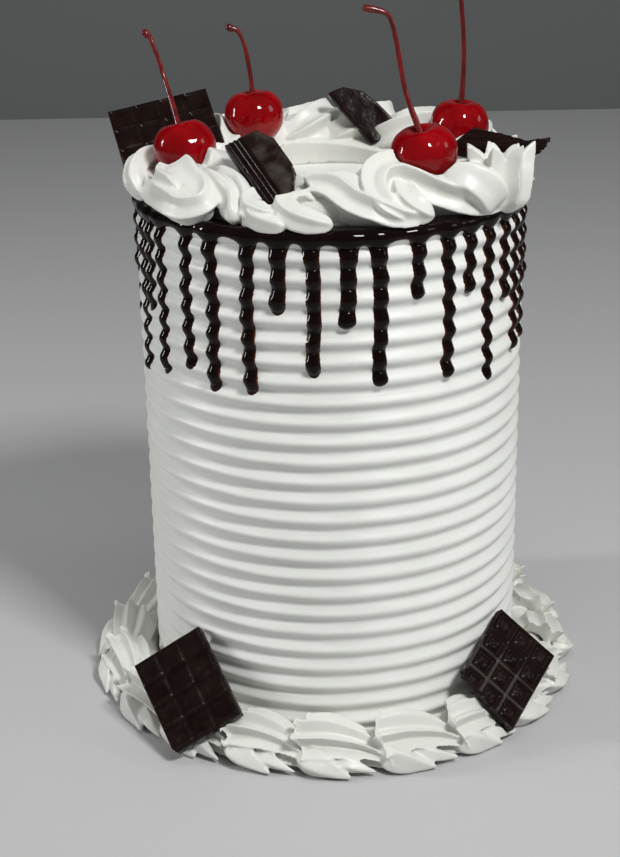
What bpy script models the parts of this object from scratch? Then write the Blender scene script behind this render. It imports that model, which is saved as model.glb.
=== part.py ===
"""Tall ice cream cake with ribbed white icing, chocolate drips, piped cream, cherries and chocolate.

Units are metres and +Z is up.  The origin is the centre of the cake's base and -Y is the front.
An azimuth is in degrees round the cake, from 0 at the front, and grows towards +X.
"""
import math
import random

import bmesh
import bpy
from mathutils import Matrix, Vector

MM = 0.001
GAP = 0.35 * MM
WELD = 0.02 * MM

# The cake: a six inch round, eight inches tall, with a comb's grooves round its side.
CAKE_RADIUS = 75.0 * MM
CAKE_HEIGHT = 203.2 * MM
CAKE_STEPS = 30
RIB_PITCH = 7.7 * MM
RIB_DEPTH = 1.8 * MM
FIRST_GROOVE = 5.4 * MM

# The chocolate sauce: a band over the rim, and drips that run down from it.
SAUCE_THICKNESS = 1.3 * MM
SAUCE_INNER_RADIUS = CAKE_RADIUS - 7.0 * MM
BAND_DEPTH = 2.4 * MM
DRIP_HALF_WIDTH = 2.9 * MM
DRIP_SINK = 0.9 * MM
DRIP_SPACING = 10.6
FRONT_DRIPS = (  # azimuth, length in mm below the rim
    (-71.4, 66), (-65.5, 40), (-58.0, 62), (-45.7, 56), (-36.1, 62), (-24.4, 61),
    (-15.4, 30), (-5.7, 53), (3.8, 35), (12.7, 57), (23.9, 26), (33.9, 58),
    (41.8, 28), (50.0, 64), (59.5, 36), (67.5, 59), (75.5, 57), (83.5, 35),
)
LONG_DRIP = 59.0 * MM
SHORT_DRIP = 33.0 * MM
DRIP_VARIATION = 5.0 * MM
DRIP_WANDER = 1.2  # most that a drip at the back stands off its even place, in degrees
DRIP_TIP = (  # height above the tip in mm, then width and thickness as shares of the drip's own
    (2.6, 1.05, 1.25), (0.9, 0.80, 1.15), (0.0, 0.35, 0.60),
)

# The piped cream: swirls on the rim, and shells round the base.
STAR_POINTS = 7
STAR_HOLLOW = 0.22  # depth between two crests, as a share of the radius
TOP_RING_RADIUS = 57.0 * MM
FRONT_SWIRLS = (  # azimuth of the head, size
    (-94, 0.98), (-68, 0.96), (-46, 0.84), (-27, 0.80), (-12, 0.86), (8, 1.02), (36, 1.02), (66, 1.0),
)
BACK_SWIRL_PITCH = 25.0
TOP_BED = (57.0 * MM, 9.0 * MM, 5.0 * MM)  # ring radius, half width and height of its middle
SIZE_RANGE = (0.94, 1.04)
BORDER_RADIUS = 87.0 * MM
BORDER_SHELLS = 18
BORDER_BED = (82.0 * MM, 8.0 * MM, 5.0 * MM)
BED_STEPS = (60, 12)  # round the ring, and round its section
CREAM_VOXEL = 1.3 * MM
CREAM_TRIANGLES = 1330

# The cherries and their stems.
CHERRY_RADIUS = 11.6 * MM
CHERRY_STEPS = 12
STEM_RADIUS = 1.0 * MM
STEM_STATIONS = 9
STEM_NECK = 0.85  # thickness at the foot, as a share of the stem's own
STEM_KNOB = 1.60  # thickness at the broken end
KNOB_START = 0.7  # where the stem starts to thicken, as a share of its length
DIMPLE_FLOOR = 0.62  # height of the dimple's floor, as a share of the radius
DIMPLE_RADIUS = 1.6 * STEM_RADIUS
DIMPLE_LIP = 0.12  # where the round outline starts, as a share of the way from the top to the base
CHERRY_TAPER = 0.05

# The chocolate: bars moulded in small squares, about 5 mm thick.
SQUARE = 10.0 * MM
SQUARE_DEPTH = 1.2 * MM
SQUARE_BORDER = 1.9 * MM
FACE_CLEARANCE = 9.0 * MM

GROUND = (400.0 * MM, 400.0 * MM, 40.0 * MM)

# Edges sharper than these angles, in degrees, stay sharp in the shading.
CAKE_EDGE = 25.0
CREAM_EDGE = 50.0
ROUND_EDGE = 40.0
CHOCOLATE_EDGE = 20.0


def clear_scene():
    for item in list(bpy.data.objects):
        bpy.data.objects.remove(item, do_unlink=True)


def new_collection(name):
    collection = bpy.data.collections.new(name)
    bpy.context.scene.collection.children.link(collection)
    return collection


def new_material(name, colour, roughness):
    material = bpy.data.materials.new(name)
    material.use_nodes = True
    shader = material.node_tree.nodes["Principled BSDF"]
    shader.inputs["Base Color"].default_value = (*colour, 1.0)
    shader.inputs["Roughness"].default_value = roughness
    shader.inputs["Metallic"].default_value = 0.0
    return material


def add_mesh(name, mesh, collection, material=None, smooth_angle=ROUND_EDGE):
    piece = bpy.data.objects.new(name, mesh)
    collection.objects.link(piece)
    mesh.materials.clear()
    if material is not None:
        mesh.materials.append(material)
    shade(piece, smooth_angle)
    return piece


def mark_guide(piece):
    piece.hide_render = True
    piece.display_type = "WIRE"


def shade(piece, smooth_angle):
    piece.data.shade_smooth()
    piece.data.set_sharp_from_angle(angle=math.radians(smooth_angle))


def remove_piece(piece):
    mesh = piece.data
    bpy.data.objects.remove(piece, do_unlink=True)
    bpy.data.meshes.remove(mesh)


def apply_modifiers(piece):
    """Replaces a piece's mesh with what its modifiers make of it."""
    depsgraph = bpy.context.evaluated_depsgraph_get()
    baked = bpy.data.meshes.new_from_object(piece.evaluated_get(depsgraph))
    old = piece.data
    piece.modifiers.clear()
    piece.data = baked
    bpy.data.meshes.remove(old)


def curve_mesh(curve):
    """The mesh of a curve, with its loose caps welded on; the curve is used up."""
    source = bpy.data.objects.new("curve", curve)
    bpy.context.scene.collection.objects.link(source)
    depsgraph = bpy.context.evaluated_depsgraph_get()
    mesh = bpy.data.meshes.new_from_object(source.evaluated_get(depsgraph))
    bpy.data.objects.remove(source, do_unlink=True)
    bpy.data.curves.remove(curve)
    weld = bmesh.new()
    weld.from_mesh(mesh)
    bmesh.ops.remove_doubles(weld, verts=weld.verts, dist=WELD)
    bmesh.ops.recalc_face_normals(weld, faces=weld.faces)
    weld.to_mesh(mesh)
    weld.free()
    return mesh


def add_boolean(piece, operation, collection, solver="EXACT"):
    modifier = piece.modifiers.new(operation.lower(), "BOOLEAN")
    modifier.operation = operation
    modifier.operand_type = "COLLECTION"
    modifier.collection = collection
    modifier.solver = solver


def direction(azimuth):
    """Unit vector that points out of the cake at an azimuth in degrees."""
    angle = math.radians(azimuth)
    return Vector((math.sin(angle), -math.cos(angle), 0.0))


def tangent(azimuth):
    """Unit vector round the cake, to the right as seen from outside."""
    angle = math.radians(azimuth)
    return Vector((math.cos(angle), math.sin(angle), 0.0))


def loft(name, rings, collection, material=None):
    """Closed body through rings with equal numbers of points, with a fan at each end."""
    shape = bmesh.new()
    rows = [[shape.verts.new(point) for point in ring] for ring in rings]
    count = len(rows[0])
    for upper, lower in zip(rows, rows[1:]):
        for i in range(count):
            j = (i + 1) % count
            shape.faces.new((upper[i], upper[j], lower[j], lower[i]))
    shape.faces.new(list(reversed(rows[0])))
    shape.faces.new(rows[-1])
    bmesh.ops.recalc_face_normals(shape, faces=shape.faces)
    mesh = bpy.data.meshes.new(name)
    shape.to_mesh(mesh)
    shape.free()
    return add_mesh(name, mesh, collection, material)


def turned(name, profile, steps, collection, material=None):
    """Solid of revolution from (radius, height) points that run down the outer side."""
    mesh = bpy.data.meshes.new(name)
    points = [(radius, 0.0, height) for radius, height in profile]
    edges = [(i, i + 1) for i in range(len(points) - 1)]
    mesh.from_pydata(points, edges, [])
    piece = add_mesh(name, mesh, collection, material)
    screw = piece.modifiers.new("turn", "SCREW")
    screw.steps = steps
    screw.render_steps = steps
    screw.use_merge_vertices = True
    screw.merge_threshold = WELD
    screw.use_smooth_shade = True
    return piece


# ---------------------------------------------------------------------------- the cake

def groove_heights():
    count = int((CAKE_HEIGHT - FIRST_GROOVE) / RIB_PITCH) + 1
    return [CAKE_HEIGHT - FIRST_GROOVE - i * RIB_PITCH for i in range(count)]


def rib_rows():
    """(radius, height) of each groove and of the ridge below it, from the top down."""
    rows = []
    for height in groove_heights():
        rows.append((CAKE_RADIUS - RIB_DEPTH, height))
        rows.append((CAKE_RADIUS, height - 0.5 * RIB_PITCH))
    return rows


def side_radius(height):
    """Radius of the ribbed side at a height."""
    below_groove = (CAKE_HEIGHT - FIRST_GROOVE - height) / RIB_PITCH
    from_groove = abs(below_groove - round(below_groove))
    return CAKE_RADIUS - RIB_DEPTH * (1.0 - 2.0 * from_groove)


def top_profile(offset):
    """(radius, height) points over the top and the sauce band, moved out by offset."""
    top = CAKE_HEIGHT + offset
    sauce_top = top + SAUCE_THICKNESS
    side = CAKE_RADIUS + SAUCE_THICKNESS + offset
    return [
        (0.0, top),
        (SAUCE_INNER_RADIUS - offset, top),
        (SAUCE_INNER_RADIUS + SAUCE_THICKNESS, sauce_top),
        (side - SAUCE_THICKNESS, sauce_top),
        (side, top),
    ]


def cake_profile():
    band_foot = CAKE_HEIGHT - BAND_DEPTH
    points = top_profile(0.0)
    points.append((CAKE_RADIUS + SAUCE_THICKNESS, band_foot + 0.5 * BAND_DEPTH))
    points.append((CAKE_RADIUS, band_foot))
    points.extend(row for row in rib_rows() if row[1] > 0.5 * MM)
    points.append((CAKE_RADIUS - 0.5 * RIB_DEPTH, 0.0))
    points.append((0.0, 0.0))
    return points


def drip_sizes():
    """(azimuth, length) of every drip: the front ones as listed, the rest by a seeded rule."""
    draw = random.Random(7)
    drips = [(azimuth, length * MM) for azimuth, length in FRONT_DRIPS]
    first = FRONT_DRIPS[-1][0] + DRIP_SPACING
    last = FRONT_DRIPS[0][0] + 360.0 - DRIP_SPACING
    count = round((last - first) / DRIP_SPACING) + 1
    for i in range(count):
        azimuth = first + (last - first) * i / (count - 1) + draw.uniform(-DRIP_WANDER, DRIP_WANDER)
        length = (LONG_DRIP, SHORT_DRIP)[i % 2] + draw.uniform(-1.0, 1.0) * DRIP_VARIATION
        drips.append((azimuth, length))
    return drips


def drip_rows(length):
    """(height, half width, thickness) rows down a drip, on every groove and ridge it crosses."""
    tip = CAKE_HEIGHT - length
    bead = tip + DRIP_TIP[0][0] * MM
    rows = [(CAKE_HEIGHT - 0.4 * BAND_DEPTH, 2.0, 0.9), (CAKE_HEIGHT - BAND_DEPTH, 1.5, 1.0)]
    rows.extend((height, 1.0, 1.0) for _, height in rib_rows() if height > bead + GAP)
    rows.extend((tip + above * MM, width, depth) for above, width, depth in DRIP_TIP)
    return [(height, width * DRIP_HALF_WIDTH, depth * SAUCE_THICKNESS) for height, width, depth in rows]


def make_drip(index, azimuth, length, collection):
    out = direction(azimuth)
    along = tangent(azimuth)
    rings = []
    for height, half_width, thickness in drip_rows(length):
        surface = side_radius(height)
        outline = (
            (-half_width, surface - DRIP_SINK),
            (0.0, surface + thickness),
            (half_width, surface - DRIP_SINK),
        )
        level = Vector((0.0, 0.0, height))
        rings.append([out * radius + along * side + level for side, radius in outline])
    return loft(f"drip_{index}", rings, collection)


def make_cake(parts, material):
    """The iced cake with its sauce band and drips, as one body."""
    cake = turned("cake", cake_profile(), CAKE_STEPS, parts, material)
    apply_modifiers(cake)
    drips = new_collection("drips")
    for index, (azimuth, length) in enumerate(drip_sizes()):
        make_drip(index, azimuth, length, drips)
    add_boolean(cake, "UNION", drips)
    apply_modifiers(cake)
    for drip in list(drips.objects):
        remove_piece(drip)
    bpy.data.collections.remove(drips)
    shade(cake, CAKE_EDGE)


# ---------------------------------------------------------------------------- piped cream

def catmull_rom(points, samples):
    """Smooth curve through points, each a tuple of numbers, as tuples at even steps."""
    count = len(points) - 1
    result = []
    for step in range(samples):
        place = step / (samples - 1) * count
        index = min(int(place), count - 1)
        t = place - index
        before = points[max(index - 1, 0)]
        start = points[index]
        end = points[index + 1]
        after = points[min(index + 2, count)]
        result.append(tuple(
            0.5 * (2.0 * b + (c - a) * t + (2.0 * a - 5.0 * b + 4.0 * c - d) * t * t
                   + (3.0 * b - a - 3.0 * c + d) * t * t * t)
            for a, b, c, d in zip(before, start, end, after)
        ))
    return result


def star_ring(centre, normal, side, radius, twist, sides):
    """Outline of a star nozzle's rope: broad hollows between narrow crests."""
    other = normal.cross(side)
    ring = []
    for i in range(sides):
        angle = 2.0 * math.pi * i / sides
        hollow = abs(math.sin(0.5 * STAR_POINTS * angle))
        reach = radius * (1.0 - STAR_HOLLOW * hollow)
        turn = angle + twist
        ring.append(centre + side * (reach * math.cos(turn)) + other * (reach * math.sin(turn)))
    return ring


def rope_rings(path, twist_per_step, samples=22, sides=28):
    """Star rings along a path of (point, radius), turned a little at each step."""
    stations = catmull_rom([(*point, radius) for point, radius in path], samples)
    centres = [Vector(station[:3]) for station in stations]
    side = Vector((0.0, 0.0, 1.0))
    rings = []
    for i, centre in enumerate(centres):
        ahead = centres[min(i + 1, samples - 1)]
        behind = centres[max(i - 1, 0)]
        normal = (ahead - behind).normalized()
        side = (side - normal * side.dot(normal)).normalized()
        rings.append(star_ring(centre, normal, side, stations[i][3], twist_per_step * i, sides))
    return rings


def placed_path(azimuth, ring_radius, base_height, steps, size):
    """Path from steps of (along, out, up, radius) in mm, set on the ring at an azimuth.

    The along distances bend round the ring.
    """
    path = []
    for along, out, up, radius in steps:
        turn = azimuth + math.degrees(along * size * MM / ring_radius)
        reach = ring_radius + out * size * MM
        point = direction(turn) * reach + Vector((0.0, 0.0, base_height + up * size * MM))
        path.append((point, radius * size * MM))
    return path


TOP_SWIRL = (  # from the low inner start, over to the left, round the head and out to the tail
    (14, -9, 5, 5.5), (6, -12, 9, 9.0), (-6, -8, 13, 10.5), (-11, 2, 13, 10.5),
    (-3, 11, 9, 10.5), (9, 12, 7, 9.5), (20, 9, 5, 7.5), (31, 5, 3, 4.5),
)
BASE_SHELL = (  # from the low start under the head, up over it and down to the tail
    (-6, -2, 3, 7.0), (-11, 2, 8, 10.0), (-4, 3, 10, 11.5), (5, 3, 8, 10.5),
    (14, 2, 5, 8.0), (25, 1, 2, 4.5),
)


def cream_bed(name, ring, base_height, collection):
    """Plain ring that the swirls sink into, so that no gap is left between them."""
    radius, half_width, middle = ring
    bpy.ops.mesh.primitive_torus_add(
        major_radius=radius, minor_radius=half_width, major_segments=BED_STEPS[0],
        minor_segments=BED_STEPS[1], location=(0.0, 0.0, base_height + middle))
    bed = bpy.context.object
    bed.name = name
    bed.data.transform(bed.matrix_world)
    bed.matrix_world = Matrix.Identity(4)
    for holder in list(bed.users_collection):
        holder.objects.unlink(bed)
    collection.objects.link(bed)
    return bed


def merge_cream(name, ropes, cutters, material):
    """Runs the ropes together into one soft body, and cuts away what carries it or lies on it."""
    cream = ropes[0]
    joined = bmesh.new()
    for rope in ropes:
        joined.from_mesh(rope.data)
    joined.to_mesh(cream.data)
    joined.free()
    for rope in ropes[1:]:
        remove_piece(rope)
    cream.name = name
    cream.data.materials.clear()
    cream.data.materials.append(material)
    remesh = cream.modifiers.new("run_together", "REMESH")
    remesh.mode = "VOXEL"
    remesh.voxel_size = CREAM_VOXEL
    apply_modifiers(cream)
    thin = cream.modifiers.new("fewer_faces", "DECIMATE")
    thin.ratio = CREAM_TRIANGLES / (2.0 * len(cream.data.polygons))
    apply_modifiers(cream)
    add_boolean(cream, "DIFFERENCE", cutters, solver="MANIFOLD")
    apply_modifiers(cream)
    keep_largest(cream)
    shade(cream, CREAM_EDGE)


def keep_largest(piece):
    """Drops the loose scraps that a cut leaves."""
    shape = bmesh.new()
    shape.from_mesh(piece.data)
    islands = []
    unseen = set(shape.verts)
    while unseen:
        island = set()
        edge = {unseen.pop()}
        while edge:
            vert = edge.pop()
            island.add(vert)
            for link in vert.link_edges:
                other = link.other_vert(vert)
                if other in unseen:
                    unseen.discard(other)
                    edge.add(other)
        islands.append(island)
    islands.sort(key=len)
    for island in islands[:-1]:
        bmesh.ops.delete(shape, geom=list(island), context="VERTS")
    shape.to_mesh(piece.data)
    shape.free()


def top_swirls(draw):
    """(azimuth, size) of the swirls: the front ones as listed, the rest at an even pitch."""
    swirls = list(FRONT_SWIRLS)
    last = FRONT_SWIRLS[-1][0]
    gap = FRONT_SWIRLS[0][0] + 360.0 - last
    count = round(gap / BACK_SWIRL_PITCH)
    swirls.extend((last + gap * i / count, draw.uniform(*SIZE_RANGE)) for i in range(1, count))
    return swirls


def make_top_cream(parts, cutters, material):
    draw = random.Random(3)
    ropes = [cream_bed("top_bed", TOP_BED, CAKE_HEIGHT, parts)]
    for index, (azimuth, size) in enumerate(top_swirls(draw)):
        path = placed_path(azimuth, TOP_RING_RADIUS, CAKE_HEIGHT, TOP_SWIRL, size)
        rings = rope_rings(path, draw.uniform(0.03, 0.07))
        ropes.append(loft(f"swirl_{index}", rings, parts))
    merge_cream("top_cream", ropes, cutters, material)


def make_base_border(parts, cutters, material):
    draw = random.Random(5)
    ropes = [cream_bed("border_bed", BORDER_BED, 0.0, parts)]
    for index in range(BORDER_SHELLS):
        azimuth = 360.0 * (index + 0.5) / BORDER_SHELLS + draw.uniform(-1.5, 1.5)
        size = draw.uniform(*SIZE_RANGE)
        path = placed_path(azimuth, BORDER_RADIUS, 0.0, BASE_SHELL, size)
        ropes.append(loft(f"shell_{index}", rope_rings(path, 0.02), parts))
    merge_cream("base_border", ropes, cutters, material)


# ---------------------------------------------------------------------------- cherries

CHERRIES = (  # centre in mm, size, lean of its axis towards +X and +Y in degrees, flatness
    ((-53.8, -18.0, 222.4), 1.01, (-14, 8), 1.0),
    ((-29.3, 30.0, 224.9), 1.02, (-6, 4), 0.98),
    ((33.2, -42.0, 224.4), 1.06, (-10, -4), 0.9),
    ((51.4, 18.0, 221.8), 1.0, (4, 0), 1.0),
)
SEAT_LEANS = ((-20, -40), (0, -20), (15, -45), (10, -20))  # which way each cherry was pushed in
SEAT_DEPTH = 18.0 * MM
SEAT_LOOSENESS = 1.11
SEAT_MOUTH = 1.1
SEAT_STEPS = 5
STEMS = (  # points in mm up to the knob; the foot is in the cherry's dimple
    ((-61.1, -5.0, 245.3), (-64.5, -3.0, 256.1), (-66.2, -2.0, 260.4), (-67.6, -2.0, 261.9)),
    ((-30.1, 31.0, 238.5), (-32.1, 33.0, 250.8), (-34.7, 34.0, 256.9), (-37.8, 34.0, 258.5)),
    ((26.7, -39.0, 246.1), (23.9, -37.0, 261.6), (21.8, -36.0, 270.1), (19.0, -36.0, 272.9), (13.7, -36.0, 274.1)),
    ((52.8, 18.0, 247.0), (51.8, 19.0, 265.8), (50.4, 20.0, 275.0), (48.0, 20.0, 279.0)),
)


def cherry_profile(radius, flatness):
    """Half outline of a cherry, from the middle of its dimple round to its base."""
    steps = CHERRY_STEPS // 2
    floor = DIMPLE_FLOOR * radius * flatness
    points = [(0.0, floor), (DIMPLE_RADIUS, floor)]
    for i in range(steps + 1):
        angle = math.pi * (DIMPLE_LIP + (1.0 - DIMPLE_LIP) * i / steps)
        lift = 1.0 - CHERRY_TAPER * math.cos(angle)
        points.append((radius * math.sin(angle), radius * flatness * math.cos(angle) * lift))
    points[-1] = (0.0, points[-1][1])
    return points


def cherry_matrix(centre, lean):
    tip_x = Matrix.Rotation(math.radians(lean[0]), 4, "Y")
    tip_y = Matrix.Rotation(math.radians(-lean[1]), 4, "X")
    return Matrix.Translation(Vector(centre) * MM) @ tip_y @ tip_x


def make_cherries(parts, material):
    for index, (centre, size, lean, flatness) in enumerate(CHERRIES, start=1):
        profile = cherry_profile(CHERRY_RADIUS * size, flatness)
        cherry = turned(f"cherry_{index}", profile, CHERRY_STEPS, parts, material)
        apply_modifiers(cherry)
        cherry.data.transform(cherry_matrix(centre, lean))


def cut_for_cherries(cutters):
    """Round-ended cutters that press a seat for each cherry into the cream."""
    for index, ((centre, size, _, _), lean) in enumerate(zip(CHERRIES, SEAT_LEANS), start=1):
        radius = CHERRY_RADIUS * size * SEAT_LOOSENESS
        profile = [(0.0, SEAT_DEPTH), (SEAT_MOUTH * radius, SEAT_DEPTH)]
        for i in range(SEAT_STEPS):
            angle = 0.5 * math.pi * (1.0 + i / SEAT_STEPS)
            profile.append((radius * math.sin(angle), radius * math.cos(angle)))
        profile.append((0.0, -radius))
        cutter = turned(f"cherry_seat_{index}", profile, CHERRY_STEPS, cutters)
        apply_modifiers(cutter)
        cutter.data.transform(cherry_matrix(centre, lean))
        mark_guide(cutter)


def make_stems(parts, material):
    for index, (points, cherry) in enumerate(zip(STEMS, CHERRIES), start=1):
        centre, size, lean, flatness = cherry
        axis = cherry_matrix(centre, lean)
        foot = axis @ Vector((0.0, 0.0, DIMPLE_FLOOR * CHERRY_RADIUS * size * flatness + 2.0 * GAP))
        route = [tuple(foot)] + [tuple(value * MM for value in point) for point in points]
        curve = bpy.data.curves.new(f"stem_{index}", "CURVE")
        curve.dimensions = "3D"
        curve.bevel_depth = STEM_RADIUS
        curve.bevel_resolution = 1
        curve.use_fill_caps = True
        spline = curve.splines.new("POLY")
        stations = catmull_rom(route, STEM_STATIONS)
        spline.points.add(len(stations) - 1)
        for i, station in enumerate(stations):
            knob = max(0.0, i / (len(stations) - 1) - KNOB_START) / (1.0 - KNOB_START)
            spline.points[i].co = (*station, 1.0)
            spline.points[i].radius = STEM_NECK + (STEM_KNOB - STEM_NECK) * knob
        add_mesh(f"stem_{index}", curve_mesh(curve), parts, material)


# ---------------------------------------------------------------------------- chocolate

def bar_matrix(centre, right, up):
    """Frame of a bar: its columns run along right, its rows along up, and its face looks out."""
    x_axis = Vector(right).normalized()
    y_axis = Vector(up)
    y_axis = (y_axis - x_axis * y_axis.dot(x_axis)).normalized()
    z_axis = x_axis.cross(y_axis)
    turn = Matrix((x_axis, y_axis, z_axis)).transposed().to_4x4()
    return Matrix.Translation(Vector(centre) * MM) @ turn


def moulded_bar(columns, rows, square, thickness, breaks):
    """Mesh of a bar with a sunk square in each cell, broken off along the given planes.

    A break is (point, normal) in mm in the bar's own frame, and takes away the normal's side.
    """
    shape = bmesh.new()
    bmesh.ops.create_grid(shape, x_segments=columns, y_segments=rows, size=0.5)
    width = columns * square
    length = rows * square
    bmesh.ops.scale(shape, vec=(width, length, 1.0), verts=shape.verts)
    face_cells = list(shape.faces)
    back = bmesh.ops.extrude_face_region(shape, geom=face_cells)
    raised = [item for item in back["geom"] if isinstance(item, bmesh.types.BMVert)]
    bmesh.ops.translate(shape, verts=raised, vec=(0.0, 0.0, thickness))
    cells = [item for item in back["geom"] if isinstance(item, bmesh.types.BMFace)]
    border = SQUARE_BORDER * square / SQUARE
    bmesh.ops.inset_individual(shape, faces=cells, thickness=border, depth=-SQUARE_DEPTH)
    bmesh.ops.dissolve_limit(
        shape, angle_limit=0.01, verts=shape.verts, edges=shape.edges, delimit={"NORMAL"})
    for point, normal in breaks:
        geometry = list(shape.verts) + list(shape.edges) + list(shape.faces)
        cut = bmesh.ops.bisect_plane(
            shape, geom=geometry, plane_co=Vector(point) * MM, plane_no=Vector(normal), clear_outer=True)
        rim = [item for item in cut["geom_cut"] if isinstance(item, bmesh.types.BMEdge)]
        bmesh.ops.holes_fill(shape, edges=rim, sides=0)
    bmesh.ops.recalc_face_normals(shape, faces=shape.faces)
    mesh = bpy.data.meshes.new("bar")
    shape.to_mesh(mesh)
    shape.free()
    return mesh


BARS = {  # columns, rows, square in mm, thickness in mm, centre in mm, right, up, breaks
    "chocolate_top_back_left": (
        4, 3, 10.1, 5.0, (-64.3, 26.2, 221.4), (0.96, 0.19, 0.18), (-0.26, 0.75, 0.60),
        (((-20.5, 15.0, 0.0), (-0.8, 0.5, 0.1)),)),
    "chocolate_top_front_left": (
        2, 4, 8.3, 5.2, (-23.0, -49.0, 222.4), (0.88, 0.32, 0.36), (-0.48, 0.71, 0.53),
        (((8.3, 9.0, 0.0), (1.0, 0.6, 0.1)), ((8.3, -4.0, 0.0), (1.0, -0.62, 0.2)))),
    "chocolate_top_right": (
        4, 3, 9.6, 6.0, (69.0, -17.0, 224.0), (0.94, -0.34, 0.0), (0.40, 0.91, 0.0),
        (((-19.0, 12.5, 0.0), (0.44, 0.9, 0.1)), ((19.2, 0.0, 5.0), (0.6, 0.0, -1.0)))),
    "chocolate_base_left": (
        3, 4, 10.0, 5.0, (-58.8, -72.9, 24.4), (0.85, 0.10, 0.51), (-0.41, 0.73, 0.55),
        (((-15.0, -18.0, 0.0), (-1.0, -0.4, 0.0)),)),
    "chocolate_base_right": (
        3, 4, 9.7, 5.0, (66.6, -60.5, 23.8), (0.73, -0.13, -0.67), (0.51, 0.76, 0.40),
        (((-8.0, -19.4, 0.0), (-1.0, -0.9, 0.1)), ((9.0, -19.0, 0.0), (-0.2, -1.0, 0.0)))),
}
SHARD_CENTRE = (12.3, 38.5, 220.9)
SHARD_RIGHT = (1.0, 0.05, 0.0)
SHARD_UP = (0.0, 0.43, 0.90)
SHARD_THICKNESS = 4.4 * MM
SHARD_OUTLINE = (  # mm in the shard's own frame: a straight broken edge, and a round one
    (5.2, -10.8), (-12.0, 10.4), (-5.6, 12.8), (2.4, 10.8), (8.4, 5.6), (15.2, -2.4), (11.2, -8.8),
)


def shard_mesh(grow=0.0):
    """Thick flat shard from its outline, wider by grow on every side."""
    curve = bpy.data.curves.new("shard", "CURVE")
    curve.dimensions = "2D"
    curve.fill_mode = "BOTH"
    curve.extrude = 0.5 * SHARD_THICKNESS + grow
    curve.offset = grow
    spline = curve.splines.new("POLY")
    spline.use_cyclic_u = True
    spline.points.add(len(SHARD_OUTLINE) - 1)
    for i, (across, up) in enumerate(SHARD_OUTLINE):
        spline.points[i].co = (across * MM, up * MM, 0.0, 1.0)
    return curve_mesh(curve)


def make_chocolate(parts, material):
    for name, (columns, rows, square, thickness, centre, right, up, breaks) in BARS.items():
        mesh = moulded_bar(columns, rows, square * MM, thickness * MM, breaks)
        mesh.transform(Matrix.Translation((0.0, 0.0, -thickness * MM)))
        mesh.transform(bar_matrix(centre, right, up))
        add_mesh(name, mesh, parts, material, smooth_angle=CHOCOLATE_EDGE)
    mesh = shard_mesh()
    mesh.transform(bar_matrix(SHARD_CENTRE, SHARD_RIGHT, SHARD_UP))
    add_mesh("chocolate_top_back", mesh, parts, material, smooth_angle=CHOCOLATE_EDGE)


def cut_for_chocolate(cutters):
    """A block round each bar, larger by the gap, that also clears the cream off its face."""
    for name, (columns, rows, square, thickness, centre, right, up, _) in BARS.items():
        block = bmesh.new()
        bmesh.ops.create_cube(block, size=1.0)
        depth = thickness * MM + GAP + FACE_CLEARANCE
        size = (columns * square * MM + 2.0 * GAP, rows * square * MM + 2.0 * GAP, depth)
        bmesh.ops.scale(block, vec=size, verts=block.verts)
        bmesh.ops.translate(block, verts=block.verts, vec=(0.0, 0.0, FACE_CLEARANCE - 0.5 * depth))
        mesh = bpy.data.meshes.new(f"{name}_seat")
        block.to_mesh(mesh)
        block.free()
        mesh.transform(bar_matrix(centre, right, up))
        mark_guide(add_mesh(f"{name}_seat", mesh, cutters))
    mesh = shard_mesh(grow=GAP)
    mesh.transform(bar_matrix(SHARD_CENTRE, SHARD_RIGHT, SHARD_UP))
    mark_guide(add_mesh("shard_seat", mesh, cutters))


# ---------------------------------------------------------------------------- the whole

def cut_for_cake(cutters):
    """The cake's outer form, larger by the gap, and the ground under the cream."""
    profile = top_profile(GAP)
    band_foot = CAKE_HEIGHT - BAND_DEPTH - GAP
    profile.append((profile[-1][0], band_foot))
    profile.append((CAKE_RADIUS + GAP, band_foot - SAUCE_THICKNESS))
    profile.append((CAKE_RADIUS + GAP, -GROUND[2]))
    profile.append((0.0, -GROUND[2]))
    core = turned("cake_seat", profile, CAKE_STEPS, cutters)
    apply_modifiers(core)
    mark_guide(core)
    ground = bmesh.new()
    bmesh.ops.create_cube(ground, size=1.0)
    bmesh.ops.scale(ground, vec=GROUND, verts=ground.verts)
    bmesh.ops.translate(ground, verts=ground.verts, vec=(0.0, 0.0, -0.5 * GROUND[2]))
    mesh = bpy.data.meshes.new("ground")
    ground.to_mesh(mesh)
    ground.free()
    mark_guide(add_mesh("ground", mesh, cutters))


def main():
    clear_scene()
    parts = new_collection("ice_cream_cake")
    cutters = new_collection("cutters")
    icing = new_material("white_icing", (0.86, 0.86, 0.83), 0.45)
    cream = new_material("whipped_cream", (0.88, 0.88, 0.85), 0.40)
    cherry = new_material("glazed_cherry", (0.45, 0.01, 0.02), 0.12)
    stem = new_material("cherry_stem", (0.20, 0.02, 0.02), 0.35)
    chocolate = new_material("dark_chocolate", (0.030, 0.016, 0.014), 0.38)
    make_cake(parts, icing)
    make_cherries(parts, cherry)
    make_stems(parts, stem)
    make_chocolate(parts, chocolate)
    cut_for_cake(cutters)
    cut_for_cherries(cutters)
    cut_for_chocolate(cutters)
    make_top_cream(parts, cutters, cream)
    make_base_border(parts, cutters, cream)


main()
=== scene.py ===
"""Looks of a tall ice cream cake: combed white icing, chocolate drips, piped cream, cherries and chocolate.

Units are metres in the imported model's frame.  The origin is the centre of the cake's base, +Z is up and -Y
is the front.  An azimuth is in degrees round the cake, from 0 at the front, and grows towards +X.
"""

import math
import random

import bmesh
import bpy
import numpy as np
from mathutils import Matrix, Vector, noise


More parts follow.
